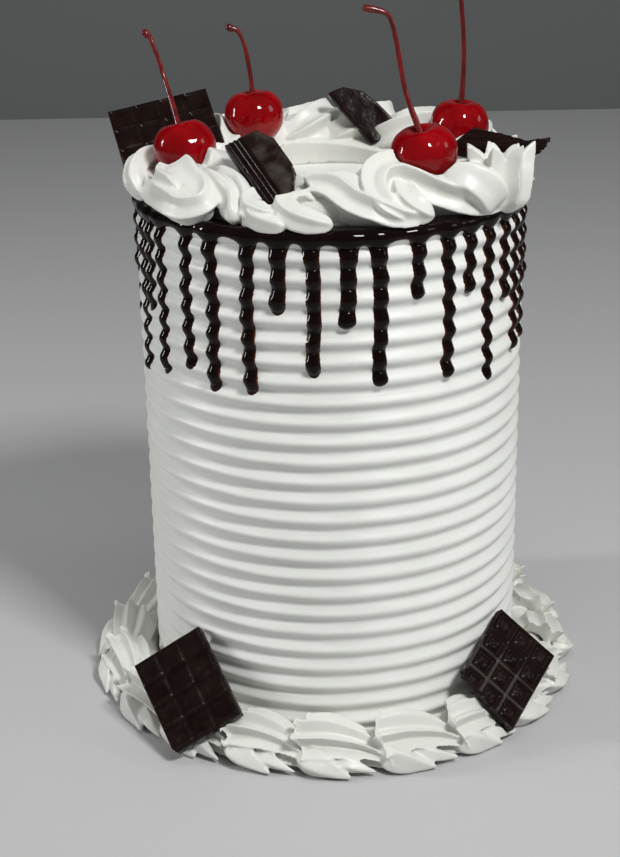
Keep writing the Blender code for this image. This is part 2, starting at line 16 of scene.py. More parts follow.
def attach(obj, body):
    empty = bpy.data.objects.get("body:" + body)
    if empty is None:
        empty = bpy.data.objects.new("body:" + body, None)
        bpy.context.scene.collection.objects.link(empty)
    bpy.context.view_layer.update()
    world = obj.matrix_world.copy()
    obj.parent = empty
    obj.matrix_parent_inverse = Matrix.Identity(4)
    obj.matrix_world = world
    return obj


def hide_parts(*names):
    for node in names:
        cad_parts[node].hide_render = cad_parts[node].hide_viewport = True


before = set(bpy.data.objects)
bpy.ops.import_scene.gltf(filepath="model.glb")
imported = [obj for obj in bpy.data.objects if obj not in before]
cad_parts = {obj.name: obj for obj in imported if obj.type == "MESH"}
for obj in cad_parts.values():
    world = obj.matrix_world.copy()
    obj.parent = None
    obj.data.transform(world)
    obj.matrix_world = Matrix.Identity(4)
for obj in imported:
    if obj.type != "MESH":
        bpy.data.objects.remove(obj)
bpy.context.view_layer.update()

MM = 0.001
BODY = "root"

# The cake, as in the part's source.
CAKE_RADIUS = 75 * MM
CAKE_HEIGHT = 203.2 * MM
RIB_PITCH = 7.7 * MM
RIB_DEPTH = 1.8 * MM
FIRST_GROOVE = 5.4 * MM
RIM_ROUNDING = 2.5 * MM
RIM_ARC = 0.5 * math.pi * RIM_ROUNDING
FLAT_RADIUS = CAKE_RADIUS - RIM_ROUNDING  # of the flat top

# The icing's mesh, and the fine line that the comb scratches above the crest of each rib.
ICING_COLUMNS = 216
ROWS_PER_RIB = 11
TOP_ROWS = 24
LINE_PLACE = 0.31  # share of the pitch below the groove
LINE_WIDTH = 0.045
LINE_DEPTH = 0.12  # share of the groove's depth
ICING_UNEVENNESS = ((38 * MM, 0.30 * MM, 1), (9 * MM, 0.10 * MM, 2))  # size, depth and seed
STREAK_STRETCH = 0.12  # the comb's streaks run round the cake
STREAK_WIDTH = 1.5 * MM
STREAK_DEPTH = 0.13 * MM
BASE_FADE = (1 * MM, 3 * MM)  # the unevenness starts this high up, over this height
TOP_FADE = 8 * MM  # and it dies down on the flat top over this distance from the rim
LEAST_UNEVENNESS = 0.1

# The sauce.
SAUCE_COLUMNS = 690
SAUCE_ROW = 0.72 * MM
SAUCE_THICKNESS = 1.15 * MM
SAUCE_INNER_RADIUS = CAKE_RADIUS - 10 * MM
BAND_DEPTH = 3.4 * MM
BAND_EDGE = 2 * MM  # over which the band rises at its inner edge
GROOVE_FILL = 0.5 * MM  # extra sauce where a drip crosses a groove
ROOT_FLARE = 0.75  # how much wider a drip is where it leaves the band
ROOT_LENGTH = 2.4 * MM
DRIP_HALF_WIDTH = 2.9 * MM
DRIP_SPACING = 10.6
DRIP_WANDER = 1.2
FRONT_DRIPS = (  # azimuth, length in mm below the rim
    (-71.4, 66), (-65.5, 40), (-58, 62), (-45.7, 56), (-36.1, 62), (-24.4, 61),
    (-15.4, 30), (-5.7, 53), (3.8, 35), (12.7, 57), (23.9, 26), (33.9, 58),
    (41.8, 28), (50, 64), (59.5, 36), (67.5, 59), (75.5, 57), (83.5, 35),
)
LONG_DRIP = 59 * MM
SHORT_DRIP = 33 * MM
DRIP_VARIATION = 5 * MM

# The piped cream.  A station of a rope is (azimuth, ring radius, height, rope radius), in degrees and mm.
STAR_SIDES = 16  # points of the outline from one crest of the star to the next
ROPE_ROWS = 110
CREST_SHARPNESS = 0.9
# Crests, depth between two crests as a share of the radius, how much deeper on one side, and that side in
# degrees from the top towards the right of the way the rope runs.
ROSE_STAR = (6, 0.38, 0, 0)
SMOOTH_STAR = (4, 0.30, 0, 0)
CURL_STAR = (5, 0.32, 0, 0)
CROWN_STAR = (7, 0.30, 0, 0)
BALL_STAR = (5, 0.24, 0, 0)
TONGUE_STAR = (4, 0.26, 0, 0)
FRONT_SWIRLS = (
    # the loop at the left
    (CURL_STAR, (
        (-94, 60, 7, 4), (-86, 66, 11.5, 6), (-79, 72, 12.5, 6), (-75, 75, 9, 5.5), (-72, 74, 5, 4.5),
        (-68, 72, 3, 3))),
    (SMOOTH_STAR, (
        (-108, 62, 4, 5), (-98, 64, 6, 7), (-88, 67, 6, 7), (-78, 69, 5, 6), (-70, 70, 3, 4))),
    # the lobe below the first cherry, which curls round to its end in the middle
    (CURL_STAR, (
        (-80, 66, 9, 4), (-72, 69.5, 6, 5.5), (-63, 71, 5, 6.5), (-56, 72.5, 5.5, 7),
        (-49, 74.5, 5.8, 7.2), (-43, 75, 5.3, 7), (-39.5, 72, 6.8, 6.5), (-42.5, 67, 9.5, 6.2),
        (-49.5, 64.5, 11.5, 6.8), (-57, 62.5, 12.5, 7.8), (-63.5, 65, 11.3, 7.2), (-60, 70, 11.2, 5.8),
        (-53, 71, 11, 5.2), (-47.5, 72.5, 9.2, 3.8))),
    # the smooth ridge behind it, and the strands that slant down beside it
    (SMOOTH_STAR, (
        (-80, 50.5, 9, 5), (-70, 50, 12.5, 8.5), (-60, 48.5, 12.5, 9), (-50, 47, 9, 8),
        (-41, 46, 6, 6.5), (-35, 46, 4, 4))),
    (SMOOTH_STAR, (
        (-56, 58, 9, 4), (-48, 60, 11, 6), (-40, 61.5, 10, 6.5), (-34, 64, 7.5, 6),
        (-30.5, 68.5, 4.5, 5.2), (-29, 73, 2.5, 3.5))),
    (SMOOTH_STAR, (
        (-54, 53, 9, 4), (-45, 54.5, 11, 6.5), (-36, 56, 10, 7), (-29.5, 60, 7.5, 6.5),
        (-26, 66.5, 4.5, 5.2), (-20.5, 71.5, 3, 4.6), (-13, 73.5, 2, 3))),
    # the small round swirl and the curl beside it
    (CURL_STAR, (
        (-18, 66, 5, 3), (-20.5, 69.5, 5.5, 4.5), (-25, 68, 6.5, 4.8), (-26.5, 64, 8, 5),
        (-23, 61, 8.5, 5), (-18.5, 63, 7.5, 4.5), (-17, 67, 5.5, 3))),
    (CURL_STAR, (
        (-4, 60, 7, 3.5), (-9, 58, 9, 5.5), (-14, 61, 9, 6.2), (-15, 66, 7, 6), (-11.5, 70, 5, 5.6),
        (-6, 72, 3.5, 5), (0, 72.5, 2.5, 2.5))),
    (ROSE_STAR, (
        (-14, 53, 8, 4), (-6, 54, 11, 7), (2, 58, 11, 8.5), (8, 64, 8, 8.5), (14, 68, 6, 8),
        (20, 71, 4, 6.5), (26, 72.5, 3, 3))),
    # the large swirl below the third cherry, and its inner tongue
    (ROSE_STAR, (
        (20, 74, 3, 3.5), (15.5, 70.5, 5.5, 6.5), (13.5, 63, 9.5, 8.5), (16.5, 56, 13, 9.5),
        (24, 54, 14.5, 9.8), (31, 58, 12.5, 10), (37, 65, 9, 9.5), (43, 70, 6.5, 9), (50, 72, 5, 7.5),
        (58, 73, 4, 5))),
    (CURL_STAR, (
        (26, 58, 9, 4), (23, 62.5, 9.5, 6), (22.5, 67, 8, 6.8), (24.5, 71.5, 5.8, 6),
        (28.5, 75, 3.5, 3))),
    # the ball at the right
    (BALL_STAR, (
        (37, 64, 12, 4), (41, 69, 13.2, 7.5), (45, 73, 11, 9.2), (48, 75, 7.5, 8.8),
        (51, 75.5, 3.5, 5))),
    # the swirls beside and behind it
    (ROSE_STAR, (
        (60, 68, 5, 6), (68, 70, 6.5, 8.5), (76, 71, 6, 8.5), (85, 70, 5, 7), (93, 68, 3.5, 4))),
    (ROSE_STAR, (
        (72, 52, 8, 5), (70, 50, 12, 8), (76, 58, 14, 10), (86, 64, 12, 10.5), (97, 65, 8, 9),
        (107, 63, 5, 5))),
    # the low strand inside the ring
    (SMOOTH_STAR, (
        (-44, 47, 5, 5), (-30, 46, 7, 7), (-15, 46, 8, 8), (0, 46, 8, 8), (12, 46, 7, 6))),
)
CROWN_SWIRL = (
    (56, 77, -1.5, 5), (56, 76.5, 3.5, 9), (56, 75, 9.5, 11.5), (56.2, 73.2, 16, 12.8),
    (56.6, 72.5, 24.3, 13.4),
)
CROWN_LEAN = 10
CROWN_TWIST = 0.4
CROWN_OPENING = 0.3  # how much deeper the hollows are at the end, where the crests stand up as points
CROWN_SINK = 6 * MM  # how far the hollows lie below the points there
INNER_STRAND = (
    (125, 45, 3, 4), (140, 44, 3.5, 7.5), (160, 43.5, 4, 8.5), (180, 43.5, 4, 8.5), (200, 44, 3.5, 8),
    (216, 45, 3, 4),
)
BACK_SWIRL = (  # along the ring, out from it, up and rope radius, from the inner start to the tail
    (14, -9, 5, 5), (6, -12, 9, 8.5), (-6, -8, 13, 10), (-11, 2, 13, 10),
    (-3, 11, 9, 10), (9, 12, 7, 9), (20, 9, 5, 7), (31, 5, 3, 4),
)
BACK_SWIRLS = (118, 142, 167, 191, 215, 239)
TOP_RING_RADIUS = 57
TOP_BED = (57, 7, 3.5)  # ring radius, half width and height of its middle
SIZE_RANGE = (0.94, 1.04)
BORDER_RADIUS = 87
BORDER_SHELLS = 20
BORDER_TURN = 11
BORDER_BED = (82, 6.5, 3.5)
# A shell of the border, from the fin at its head to its tail: along the ring, out from it, up and radius.
BASE_SHELL = (
    (-6, 1.5, 8, 12.6), (-4.5, 1.2, 8, 11.8), (-2.5, 1, 8.1, 11.5), (1, 0.5, 8.2, 11.7),
    (6, 0, 8, 11.4), (12, 0, 7.2, 10.4), (18, 1, 6.2, 9), (23, 3, 5, 7.2), (27, 6, 3.4, 4.8),
    (29.5, 8.5, 2, 2.2),
)
SHELL_MOUTH = ((0.05, 1.8), (0.5, 1.6), (0.75, 1.1), (0.9, 0.4))  # its hollow end: radius share and depth
SHELL_CRESTS = 9
SHELL_FIRST_CREST = 4  # degrees from the top towards the outside
SHELL_HOLLOW = 0.34
SHELL_DEEPER = (0.45, 105)  # how much deeper the hollows are on one side, and where that is
SHELL_SWEEP = (12.5, 34)  # how far the fin sweeps back down its sides, and where it is foremost
SWEEP_ROUNDNESS = 1.5
SWEEP_FADE = 1.15
SHELL_FLUTE_START = 0.2
SHELL_ROWS = 90
SHELL_LOBE = (
    (-3, 5.5, 6, 4.5), (1, 8, 5, 6), (5, 9.6, 4, 5.6), (9, 11, 2.8, 3.8), (12.5, 12.6, 1.8, 2),
    (15, 14, 1.2, 0.7),
)
SHELL_TONGUE = (
    (6, 6.5, 4.5, 2), (11, 8.6, 4.4, 3), (15, 9.8, 4, 3.2), (18.5, 10.8, 3.2, 2.3),
    (21.5, 11.6, 2.4, 1.2), (23.5, 12.2, 1.9, 0.5),
)
CUT_STEPS = 180
SEAT_GAP = 0.2 * MM
TOP_CLEARANCE = 9 * MM  # how far the cream stays out from the face of a bar
BASE_CLEARANCE = 1 * MM
PLUNGE = 40 * MM  # how far a cutter reaches past what it cuts
UNEVENNESS = ((14 * MM, 0.45 * MM), (4 * MM, 0.12 * MM))  # size and depth of the cream's wobbles
CREAM_VOXEL = 0.45 * MM
SOFTENING = 3
FRONT_FACES = 70000
BACK_FACES = 42000


# ---------------- helpers

def direction(azimuth):
    angle = math.radians(azimuth)
    return Vector((math.sin(angle), -math.cos(angle), 0.0))


def around(radius, angle, height):
    """Points at these distances from the cake's axis, angles round it from the front and heights."""
    return np.stack([radius * np.sin(angle), -radius * np.cos(angle), height], axis=-1)


def even_turns(count):
    return 2.0 * math.pi * np.arange(count) / count


def noise_at(points, scale, seed=0.0):
    """Smooth noise between about -1 and 1 at an array of points, whose features are scale across."""
    shift = Vector((seed * 7.31, seed * 3.77, seed * 5.13))
    flat = points.reshape(-1, 3) / scale
    values = [noise.noise(Vector(point) + shift) for point in flat.tolist()]
    return np.array(values).reshape(points.shape[:-1])


def smooth_step(low, high, value):
    share = np.clip((value - low) / (high - low), 0.0, 1.0)
    return share * share * (3.0 - 2.0 * share)


def place_piece(piece, node):
    """Sets a piece on the cake's body and in place of its CAD node."""
    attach(piece, BODY)
    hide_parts(node)


def new_object(name, data):
    made = bpy.data.objects.new(name, data)
    bpy.context.scene.collection.objects.link(made)
    return made


def mesh_of(name, points, faces):
    """Mesh from an array of points and a list of faces."""
    mesh = bpy.data.meshes.new(name)
    mesh.from_pydata(points.reshape(-1, 3).tolist(), [], faces)
    return mesh


def mesh_from(shape, name):
    """Mesh from a bmesh shape, which is used up."""
    mesh = bpy.data.meshes.new(name)
    shape.to_mesh(mesh)
    shape.free()
    return mesh


def set_numbers(mesh, name, values):
    """A number for each point of the mesh, which its material reads by name."""
    attribute = mesh.attributes.new(name, "FLOAT", "POINT")
    attribute.data.foreach_set("value", values.astype(np.float32))


def new_piece(name, mesh, material):
    piece = new_object(name, mesh)
    mesh.materials.clear()
    mesh.materials.append(material)
    mesh.shade_smooth()
    return piece


def modify(piece, kind, **settings):
    modifier = piece.modifiers.new(kind.lower(), kind)
    for name, value in settings.items():
        setattr(modifier, name, value)


def apply_modifiers(piece):
    depsgraph = bpy.context.evaluated_depsgraph_get()
    baked = bpy.data.meshes.new_from_object(piece.evaluated_get(depsgraph))
    old = piece.data
    piece.modifiers.clear()
    piece.data = baked
    bpy.data.meshes.remove(old)


def grid_faces(rows, columns, wrap):
    """Quads of a grid of points, row by row; wrap joins the last column to the first."""
    last = columns if wrap else columns - 1
    i = np.repeat(np.arange(rows - 1), last)
    j = np.tile(np.arange(last), rows - 1)
    k = (j + 1) % columns
    return np.stack([i * columns + j, (i + 1) * columns + j, (i + 1) * columns + k, i * columns + k], axis=1)


def closed_faces(rows, columns):
    """Faces of a wrapped grid of points, with a lid on its first row and on its last."""
    faces = grid_faces(rows, columns, True).tolist()
    faces.append(list(range(columns)))
    faces.append([(rows - 1) * columns + i for i in reversed(range(columns))])
    return faces


def grid_normals(points):
    """Unit normals of a wrapped grid of points, out of the side that the rows run down."""
    along = np.gradient(points, axis=0)
    across = np.roll(points, -1, axis=1) - np.roll(points, 1, axis=1)
    normals = np.cross(along, across)
    return normals / np.maximum(np.linalg.norm(normals, axis=-1, keepdims=True), 1e-12)


# ---------------- materials

def shader_of(material):
    return material.node_tree.nodes["Principled BSDF"]


def set_inputs(node, values):
    for name, value in values.items():
        node.inputs[name].default_value = value


def new_material(name, colour, roughness, specular, others={}):
    material = bpy.data.materials.new(name)
    material.use_nodes = True
    shader = shader_of(material)
    set_inputs(shader, {"Base Color": (*colour, 1.0), "Roughness": roughness, "Specular IOR Level": specular})
    set_inputs(shader, others)
    return material


def add_node(material, kind, **settings):
    node = material.node_tree.nodes.new(kind)
    for name, value in settings.items():
        setattr(node, name, value)
    return node


def link(material, source, output, target, socket):
    material.node_tree.links.new(source.outputs[output], target.inputs[socket])


def object_coordinates(material, stretch=(1.0, 1.0, 1.0)):
    coordinates = add_node(material, "ShaderNodeTexCoord")
    mapping = add_node(material, "ShaderNodeMapping")
    set_inputs(mapping, {"Scale": stretch})
    link(material, coordinates, "Object", mapping, "Vector")
    return mapping


def noise_texture(material, mapping, scale, detail):
    texture = add_node(material, "ShaderNodeTexNoise")
    set_inputs(texture, {"Scale": scale, "Detail": detail})
    link(material, mapping, "Vector", texture, "Vector")
    return texture


def colour_by(material, source, output, stops):
    """Colours the material by a node's output, from (place, colour) stops."""
    ramp = add_node(material, "ShaderNodeValToRGB")
    elements = ramp.color_ramp.elements
    while len(elements) < len(stops):
        elements.new(0.5)
    for element, (place, colour) in zip(elements, stops):
        element.position = place
        element.color = (*colour, 1.0)
    link(material, source, output, ramp, "Fac")
    link(material, ramp, "Color", shader_of(material), "Base Color")


def add_bump(material, texture, distance, strength):
    bump = add_node(material, "ShaderNodeBump")
    set_inputs(bump, {"Strength": strength, "Distance": distance})
    link(material, texture, "Fac", bump, "Height")
    link(material, bump, "Normal", shader_of(material), "Normal")


def cream_material(name, light, shade, roughness):
    """Satin dairy cream: soft light through it, a trace of colour variation and very fine bubbles."""
    soft = {"Subsurface Weight": 0.25, "Subsurface Radius": (1.0, 0.9, 0.7), "Subsurface Scale": 0.0006}
    material = new_material(name, light, roughness, 0.4, soft)
    mapping = object_coordinates(material)
    clouds = noise_texture(material, mapping, 40.0, 3.0)
    colour_by(material, clouds, "Fac", ((0.35, shade), (0.65, light)))
    bubbles = noise_texture(material, mapping, 1400.0, 2.0)
    add_bump(material, bubbles, 0.00006, 0.5)
    return material


def sauce_material():
    """Glossy chocolate sauce: nearly black, and amber brown where it thins out at its edges."""
    material = new_material("chocolate_sauce", (0.012, 0.005, 0.004), 0.06, 0.15)
    depth = add_node(material, "ShaderNodeAttribute", attribute_name="sauce_depth")
    stops = ((0.0, (0.15, 0.045, 0.016)), (0.16, (0.03, 0.008, 0.004)), (0.5, (0.008, 0.003, 0.0022)),
             (0.9, (0.005, 0.002, 0.0017)))
    colour_by(material, depth, "Fac", stops)
    return material


def cherry_material():
    """Candied cherry: deep red with darker blotches, a little light through it, under a thin clear glaze."""
    glaze = {"Subsurface Weight": 0.3, "Subsurface Radius": (1.0, 0.06, 0.05), "Subsurface Scale": 0.002,
             "Coat Weight": 0.2, "Coat Roughness": 0.03}
    material = new_material("glazed_cherry", (0.30, 0.002, 0.006), 0.08, 0.2, glaze)
    mapping = object_coordinates(material)
    blotches = noise_texture(material, mapping, 110.0, 4.0)
    colour_by(material, blotches, "Fac", ((0.3, (0.17, 0.0, 0.001)), (0.7, (0.31, 0.001, 0.004))))
    return material


def stem_material():
    """Red stem with a damp gloss and darker streaks along it."""
    coat = {"Coat Weight": 0.35, "Coat Roughness": 0.08}
    material = new_material("cherry_stem", (0.20, 0.012, 0.012), 0.25, 0.3, coat)
    mapping = object_coordinates(material, (1.0, 1.0, 0.25))
    streaks = noise_texture(material, mapping, 420.0, 4.0)
    colour_by(material, streaks, "Fac", ((0.3, (0.05, 0.005, 0.005)), (0.7, (0.20, 0.010, 0.010))))
    add_bump(material, streaks, 0.00012, 0.7)
    return material


def chocolate_material():
    """Dark moulded chocolate with a fine grain and a faint bloom, paled to grey where its paling attribute
    says so, which on raised moulding is a painted sheen.
    """
    material = new_material("dark_chocolate", (0.022, 0.010, 0.008), 0.32, 0.12)
    mapping = object_coordinates(material)
    bloom = noise_texture(material, mapping, 150.0, 5.0)
    # paling attribute: a painted sheen on the raised moulding of cell faces, and a paler plain rest on
    # striped faces; it lifts the colour towards the grey last stop
    sheen_and_paling = add_node(material, "ShaderNodeAttribute", attribute_name="sheen_and_paling")
    total = add_node(material, "ShaderNodeMath", operation="ADD")
    link(material, bloom, "Fac", total, 0)
    link(material, sheen_and_paling, "Fac", total, 1)
    stops = ((0.35, (0.006, 0.0026, 0.0022)), (0.7, (0.013, 0.006, 0.005)), (1.0, (0.05, 0.042, 0.037)))
    colour_by(material, total, "Value", stops)
    gloss = add_node(material, "ShaderNodeMapRange")
    set_inputs(gloss, {"To Min": 0.17, "To Max": 0.34})
    link(material, bloom, "Fac", gloss, "Value")
    link(material, gloss, "Result", shader_of(material), "Roughness")
    grain = noise_texture(material, mapping, 900.0, 3.0)
    add_bump(material, grain, 0.00012, 0.6)
    return material


# ---------------- the icing

def groove_shift(angle):
    """How far the comb rode up or down at each angle round the cake, in metres."""
    return 0.35 * MM * (np.sin(angle + 0.6) + 0.5 * np.sin(3.0 * angle + 2.0) + 0.25 * np.sin(7.0 * angle))


def ribbed_radius(height):
    """Radius of the combed side: rounded ribs with a groove at every whole pitch below the first."""
    place = (CAKE_HEIGHT - FIRST_GROOVE - height) / RIB_PITCH
    depth = (0.5 + 0.5 * np.cos(2.0 * math.pi * place)) ** 1.15
    share = place - np.floor(place)
    depth = depth + LINE_DEPTH * np.exp(-((share - LINE_PLACE) / LINE_WIDTH) ** 2)
    rim = np.clip(-place * RIB_PITCH / (FIRST_GROOVE - RIM_ROUNDING), 0.0, 1.0)
    depth = np.where(place < 0.0, (1.0 - rim) ** 1.7, depth)
    return CAKE_RADIUS - RIB_DEPTH * depth


def skin(angle, path):
    """Points on the icing at path metres down over the rim; before 0 they lie on the flat top."""
    bend = np.clip(path / RIM_ROUNDING, 0.0, 0.5 * math.pi)
    height = CAKE_HEIGHT - RIM_ROUNDING + RIM_ROUNDING * np.cos(bend)
    radius = FLAT_RADIUS + RIM_ROUNDING * np.sin(bend) + np.minimum(path, 0.0)
    height = height - np.maximum(path - RIM_ARC, 0.0)
    radius = np.where(path > RIM_ARC, ribbed_radius(height), radius)
    from_rim = np.clip((CAKE_HEIGHT - FIRST_GROOVE - height) / RIB_PITCH, 0.0, 1.0)
    from_foot = np.clip(height / RIB_PITCH, 0.0, 1.0)
    height = height + groove_shift(angle) * from_rim * from_foot
    return around(radius, angle, height)


def make_icing(material):
    """The whole cake with its icing: flat top, combed side and flat base, as one closed mesh."""
    angles = np.linspace(0.0, 2.0 * math.pi, ICING_COLUMNS, endpoint=False)
    side_length = CAKE_HEIGHT - RIM_ROUNDING + RIM_ARC
    row = RIB_PITCH / ROWS_PER_RIB
    top_rows = np.linspace(-FLAT_RADIUS + 2.0 * MM, -row, TOP_ROWS)
    side_rows = np.linspace(0.0, side_length, round(side_length / row) + 1)
    paths = np.concatenate([top_rows, side_rows])
    angle_grid, path_grid = np.meshgrid(angles, paths)
    points = skin(angle_grid, path_grid)
    normals = grid_normals(points)
    uneven = sum(depth * noise_at(points, size, seed) for size, depth, seed in ICING_UNEVENNESS)
    streak_points = points.copy()
    streak_points[..., 0:2] *= STREAK_STRETCH
    uneven += STREAK_DEPTH * noise_at(streak_points, STREAK_WIDTH, 3.0)
    foot, rise = BASE_FADE
    fade = np.clip((points[..., 2] - foot) / rise, 0.0, 1.0)
    fade = fade * np.clip(1.0 + path_grid / TOP_FADE, LEAST_UNEVENNESS, 1.0)
    points = points + normals * (uneven * fade)[..., None]
    points[-1, :, 2] = 0.0
    mesh = mesh_of("icing", points, closed_faces(len(paths), ICING_COLUMNS))
    piece = new_piece("icing", mesh, material)
    mesh.set_sharp_from_angle(angle=math.radians(50.0))
    place_piece(piece, "cake")


# ---------------- the sauce

def drip_sizes():
    """(azimuth, length) of every drip: the front ones as listed, the rest by a seeded rule."""
    draw = random.Random(7)
    drips = [(azimuth, length * MM) for azimuth, length in FRONT_DRIPS]
    first = FRONT_DRIPS[-1][0] + DRIP_SPACING
    last = FRONT_DRIPS[0][0] + 360.0 - DRIP_SPACING
    count = round((last - first) / DRIP_SPACING) + 1
    for i in range(count):
        azimuth = first + (last - first) * i / (count - 1) + draw.uniform(-DRIP_WANDER, DRIP_WANDER)
        length = (LONG_DRIP, SHORT_DRIP)[i % 2] + draw.uniform(-1.0, 1.0) * DRIP_VARIATION
        drips.append((azimuth, length))
    return drips


def soft_max(a, b, blend):
    overlap = np.clip(blend - np.abs(a - b), 0.0, None) / blend
    return np.maximum(a, b) + overlap ** 2 * blend / 4.0


def drip_depth(across, below, length, draw):
    """Depth of sauce of one drip, from the distance across it and below the rim; under 0 is bare."""
    phase = draw.uniform(0.0, 6.28)
    sway = 0.35 * MM * np.sin(below / (7.5 * MM) + phase)
    sway = sway + 0.18 * MM * np.sin(below / (2.9 * MM) + 2.0 * phase)
    share = below / length
    groove = np.cos(2.0 * math.pi * (below - FIRST_GROOVE) / RIB_PITCH)
    narrowing = 1.06 - 0.14 * np.clip(share, 0.0, 1.0) - 0.035 * groove
    width = DRIP_HALF_WIDTH * draw.uniform(0.88, 1.04) * narrowing
    bead = np.exp(-((below - (length - 3.2 * MM)) / (3.4 * MM)) ** 2)
    root = np.exp(-np.maximum(below - BAND_DEPTH, 0.0) / ROOT_LENGTH)
    width = width * (1.0 + 0.14 * bead) * (1.0 + ROOT_FLARE * root)
    tip = 1.1 * DRIP_HALF_WIDTH
    past = np.maximum(below - (length - tip), 0.0) / tip
    spread = ((across - sway) / width) ** 2 + past ** 2
    body = SAUCE_THICKNESS * (1.0 + 0.30 * bead) + GROOVE_FILL * (0.5 + 0.5 * groove) ** 2
    return body * (1.0 - spread)


def make_sauce(material):
    """The band over the rim with its drips, as one closed sheet whose thin edge sinks into the icing."""
    draw = random.Random(11)
    angles = np.linspace(0.0, 2.0 * math.pi, SAUCE_COLUMNS, endpoint=False)
    start = SAUCE_INNER_RADIUS - FLAT_RADIUS
    drips = drip_sizes()
    end = RIM_ARC - RIM_ROUNDING + max(length for _, length in drips) + 2.0 * MM
    paths = np.arange(start, end, SAUCE_ROW)
    angle_grid, path_grid = np.meshgrid(angles, paths)
    points = skin(angle_grid, path_grid)
    normals = grid_normals(points)
    below = CAKE_HEIGHT - points[..., 2]
    waves = 1.0 + 0.22 * np.sin(5.0 * angle_grid + 1.0) + 0.15 * np.sin(11.0 * angle_grid + 0.5)
    lower = np.maximum(path_grid, 0.0) / (BAND_DEPTH * waves + RIM_ARC - RIM_ROUNDING)
    risen = SAUCE_INNER_RADIUS + BAND_EDGE - FLAT_RADIUS
    upper = np.maximum(risen - path_grid, 0.0) / BAND_EDGE
    depth = 0.75 * SAUCE_THICKNESS * (1.0 - lower ** 5 - upper ** 2)
    depth += 0.10 * MM * noise_at(points, 14.0 * MM, 5.0)
    for azimuth, length in drips:
        turn = np.angle(np.exp(1j * (angles - math.radians(azimuth))))
        near = np.nonzero(np.abs(turn) < 12.0 * MM / CAKE_RADIUS)[0]
        across = (turn[near] * CAKE_RADIUS)[None, :]
        one = drip_depth(across, below[:, near], length, draw)
        one = np.where(path_grid[:, near] < 0.0, -SAUCE_THICKNESS, one)
        depth[:, near] = soft_max(depth[:, near], one, 1.5 * MM)
    depth = np.maximum(depth, -0.5 * MM)
    points = points + normals * depth[..., None]
    faces = grid_faces(len(paths), SAUCE_COLUMNS, True)
    kept = faces[depth.reshape(-1)[faces].max(axis=1) > -0.35 * MM]
    used, compact = np.unique(kept, return_inverse=True)
    mesh = mesh_of("chocolate_sauce", points.reshape(-1, 3)[used], compact.reshape(kept.shape).tolist())
    set_numbers(mesh, "sauce_depth", np.clip(depth.reshape(-1)[used] / (1.2 * MM), 0.0, 1.0))
    piece = new_piece("chocolate_sauce", mesh, material)
    modify(piece, "SOLIDIFY", thickness=0.7 * MM, offset=-1.0)
    apply_modifiers(piece)
    piece.data.shade_smooth()
    place_piece(piece, "cake")


# ---------------- piped cream

def catmull_rom(points, samples):
    """Smooth curve through points, each a tuple of numbers, as an array of rows at even steps."""
    table = np.array(points, dtype=float)
    count = len(table) - 1
    place = np.linspace(0.0, count, samples)
    index = np.minimum(place.astype(int), count - 1)
    t = (place - index)[:, None]
    a = table[np.maximum(index - 1, 0)]
    b = table[index]
    c = table[index + 1]
    d = table[np.minimum(index + 2, count)]
    return 0.5 * (2.0 * b + (c - a) * t + (2.0 * a - 5.0 * b + 4.0 * c - d) * t ** 2
                  + (3.0 * b - a - 3.0 * c + d) * t ** 3)


def ring_path(stations, base_height):
    """Path in metres from stations round the cake in degrees and mm."""
    path = []
    for azimuth, ring_radius, height, radius in stations:
        point = direction(azimuth) * ring_radius * MM + Vector((0.0, 0.0, base_height + height * MM))
        path.append((*point, radius * MM))
    return path


def steps_to_stations(azimuth, ring_radius, steps, size):
    """Stations round the cake from steps along, out of and above a ring."""
    stations = []
    for along, out, up, radius in steps:
        turn = azimuth + math.degrees(along * size / ring_radius)
        stations.append((turn, ring_radius + out * size, up * size, radius * size))
    return stations


def follow(path, samples):
    """Centres, directions and radii along a path of (x, y, z, radius)."""
    stations = catmull_rom(path, samples)
    centres = stations[:, :3]
    tangents = np.gradient(centres, axis=0)
    tangents /= np.linalg.norm(tangents, axis=1, keepdims=True)
    return centres, tangents, stations[:, 3]


def sides_along(tangents, side):
    """Two directions across each tangent in turn, carried along without a twist."""
    for normal in tangents:
        side = side - normal * side.dot(normal)
        side /= np.linalg.norm(side)
        yield side, np.cross(normal, side)


def rope_mesh(path, star, lean, twist, opening=0.0, sink=0.0):
    """Star-shaped rope swept along a path of (x, y, z, radius), as vertices and faces of a closed body."""
    crests, depth, lopsided, deep_side = star
    sides = crests * STAR_SIDES
    centres, tangents, radii = follow(path, ROPE_ROWS)
    angle = even_turns(sides)
    between = np.abs(np.sin(0.5 * crests * angle))
    hollow = between ** CREST_SHARPNESS
    sunk = sink * np.arcsin(between) / (0.5 * math.pi)
    length = np.concatenate([[0.0], np.cumsum(np.linalg.norm(np.diff(centres, axis=0), axis=1))])
    from_start = np.clip(length / radii[0], 0.05, 1.0)
    from_end = np.clip((length[-1] - length) / radii[-1], 0.05, 1.0) if sink == 0.0 else 1.0
    radii = radii * np.sqrt(from_start * (2.0 - from_start) * from_end * (2.0 - from_end))
    rings = []
    for i, (side, other) in enumerate(sides_along(tangents, np.array([0.0, 0.0, 1.0]))):
        turn = angle + math.radians(lean) + twist * i / ROPE_ROWS
        opened = max(0.0, 2.0 * i / ROPE_ROWS - 1.0) ** 2
        deeper = 1.0 + lopsided * np.cos(turn - math.radians(deep_side)) + opening * opened
        reach = radii[i] * (1.0 - np.minimum(depth * hollow * deeper, 0.9))
        base = centres[i] - np.outer(opened * sunk, tangents[i])
        rings.append(base + np.outer(reach * np.cos(turn), side) + np.outer(reach * np.sin(turn), other))
    floor = centres[-1] - 1.3 * sink * tangents[-1]
    rings.append(floor + 0.25 * (rings[-1] - centres[-1]))
    return np.concatenate(rings), closed_faces(ROPE_ROWS + 1, sides)


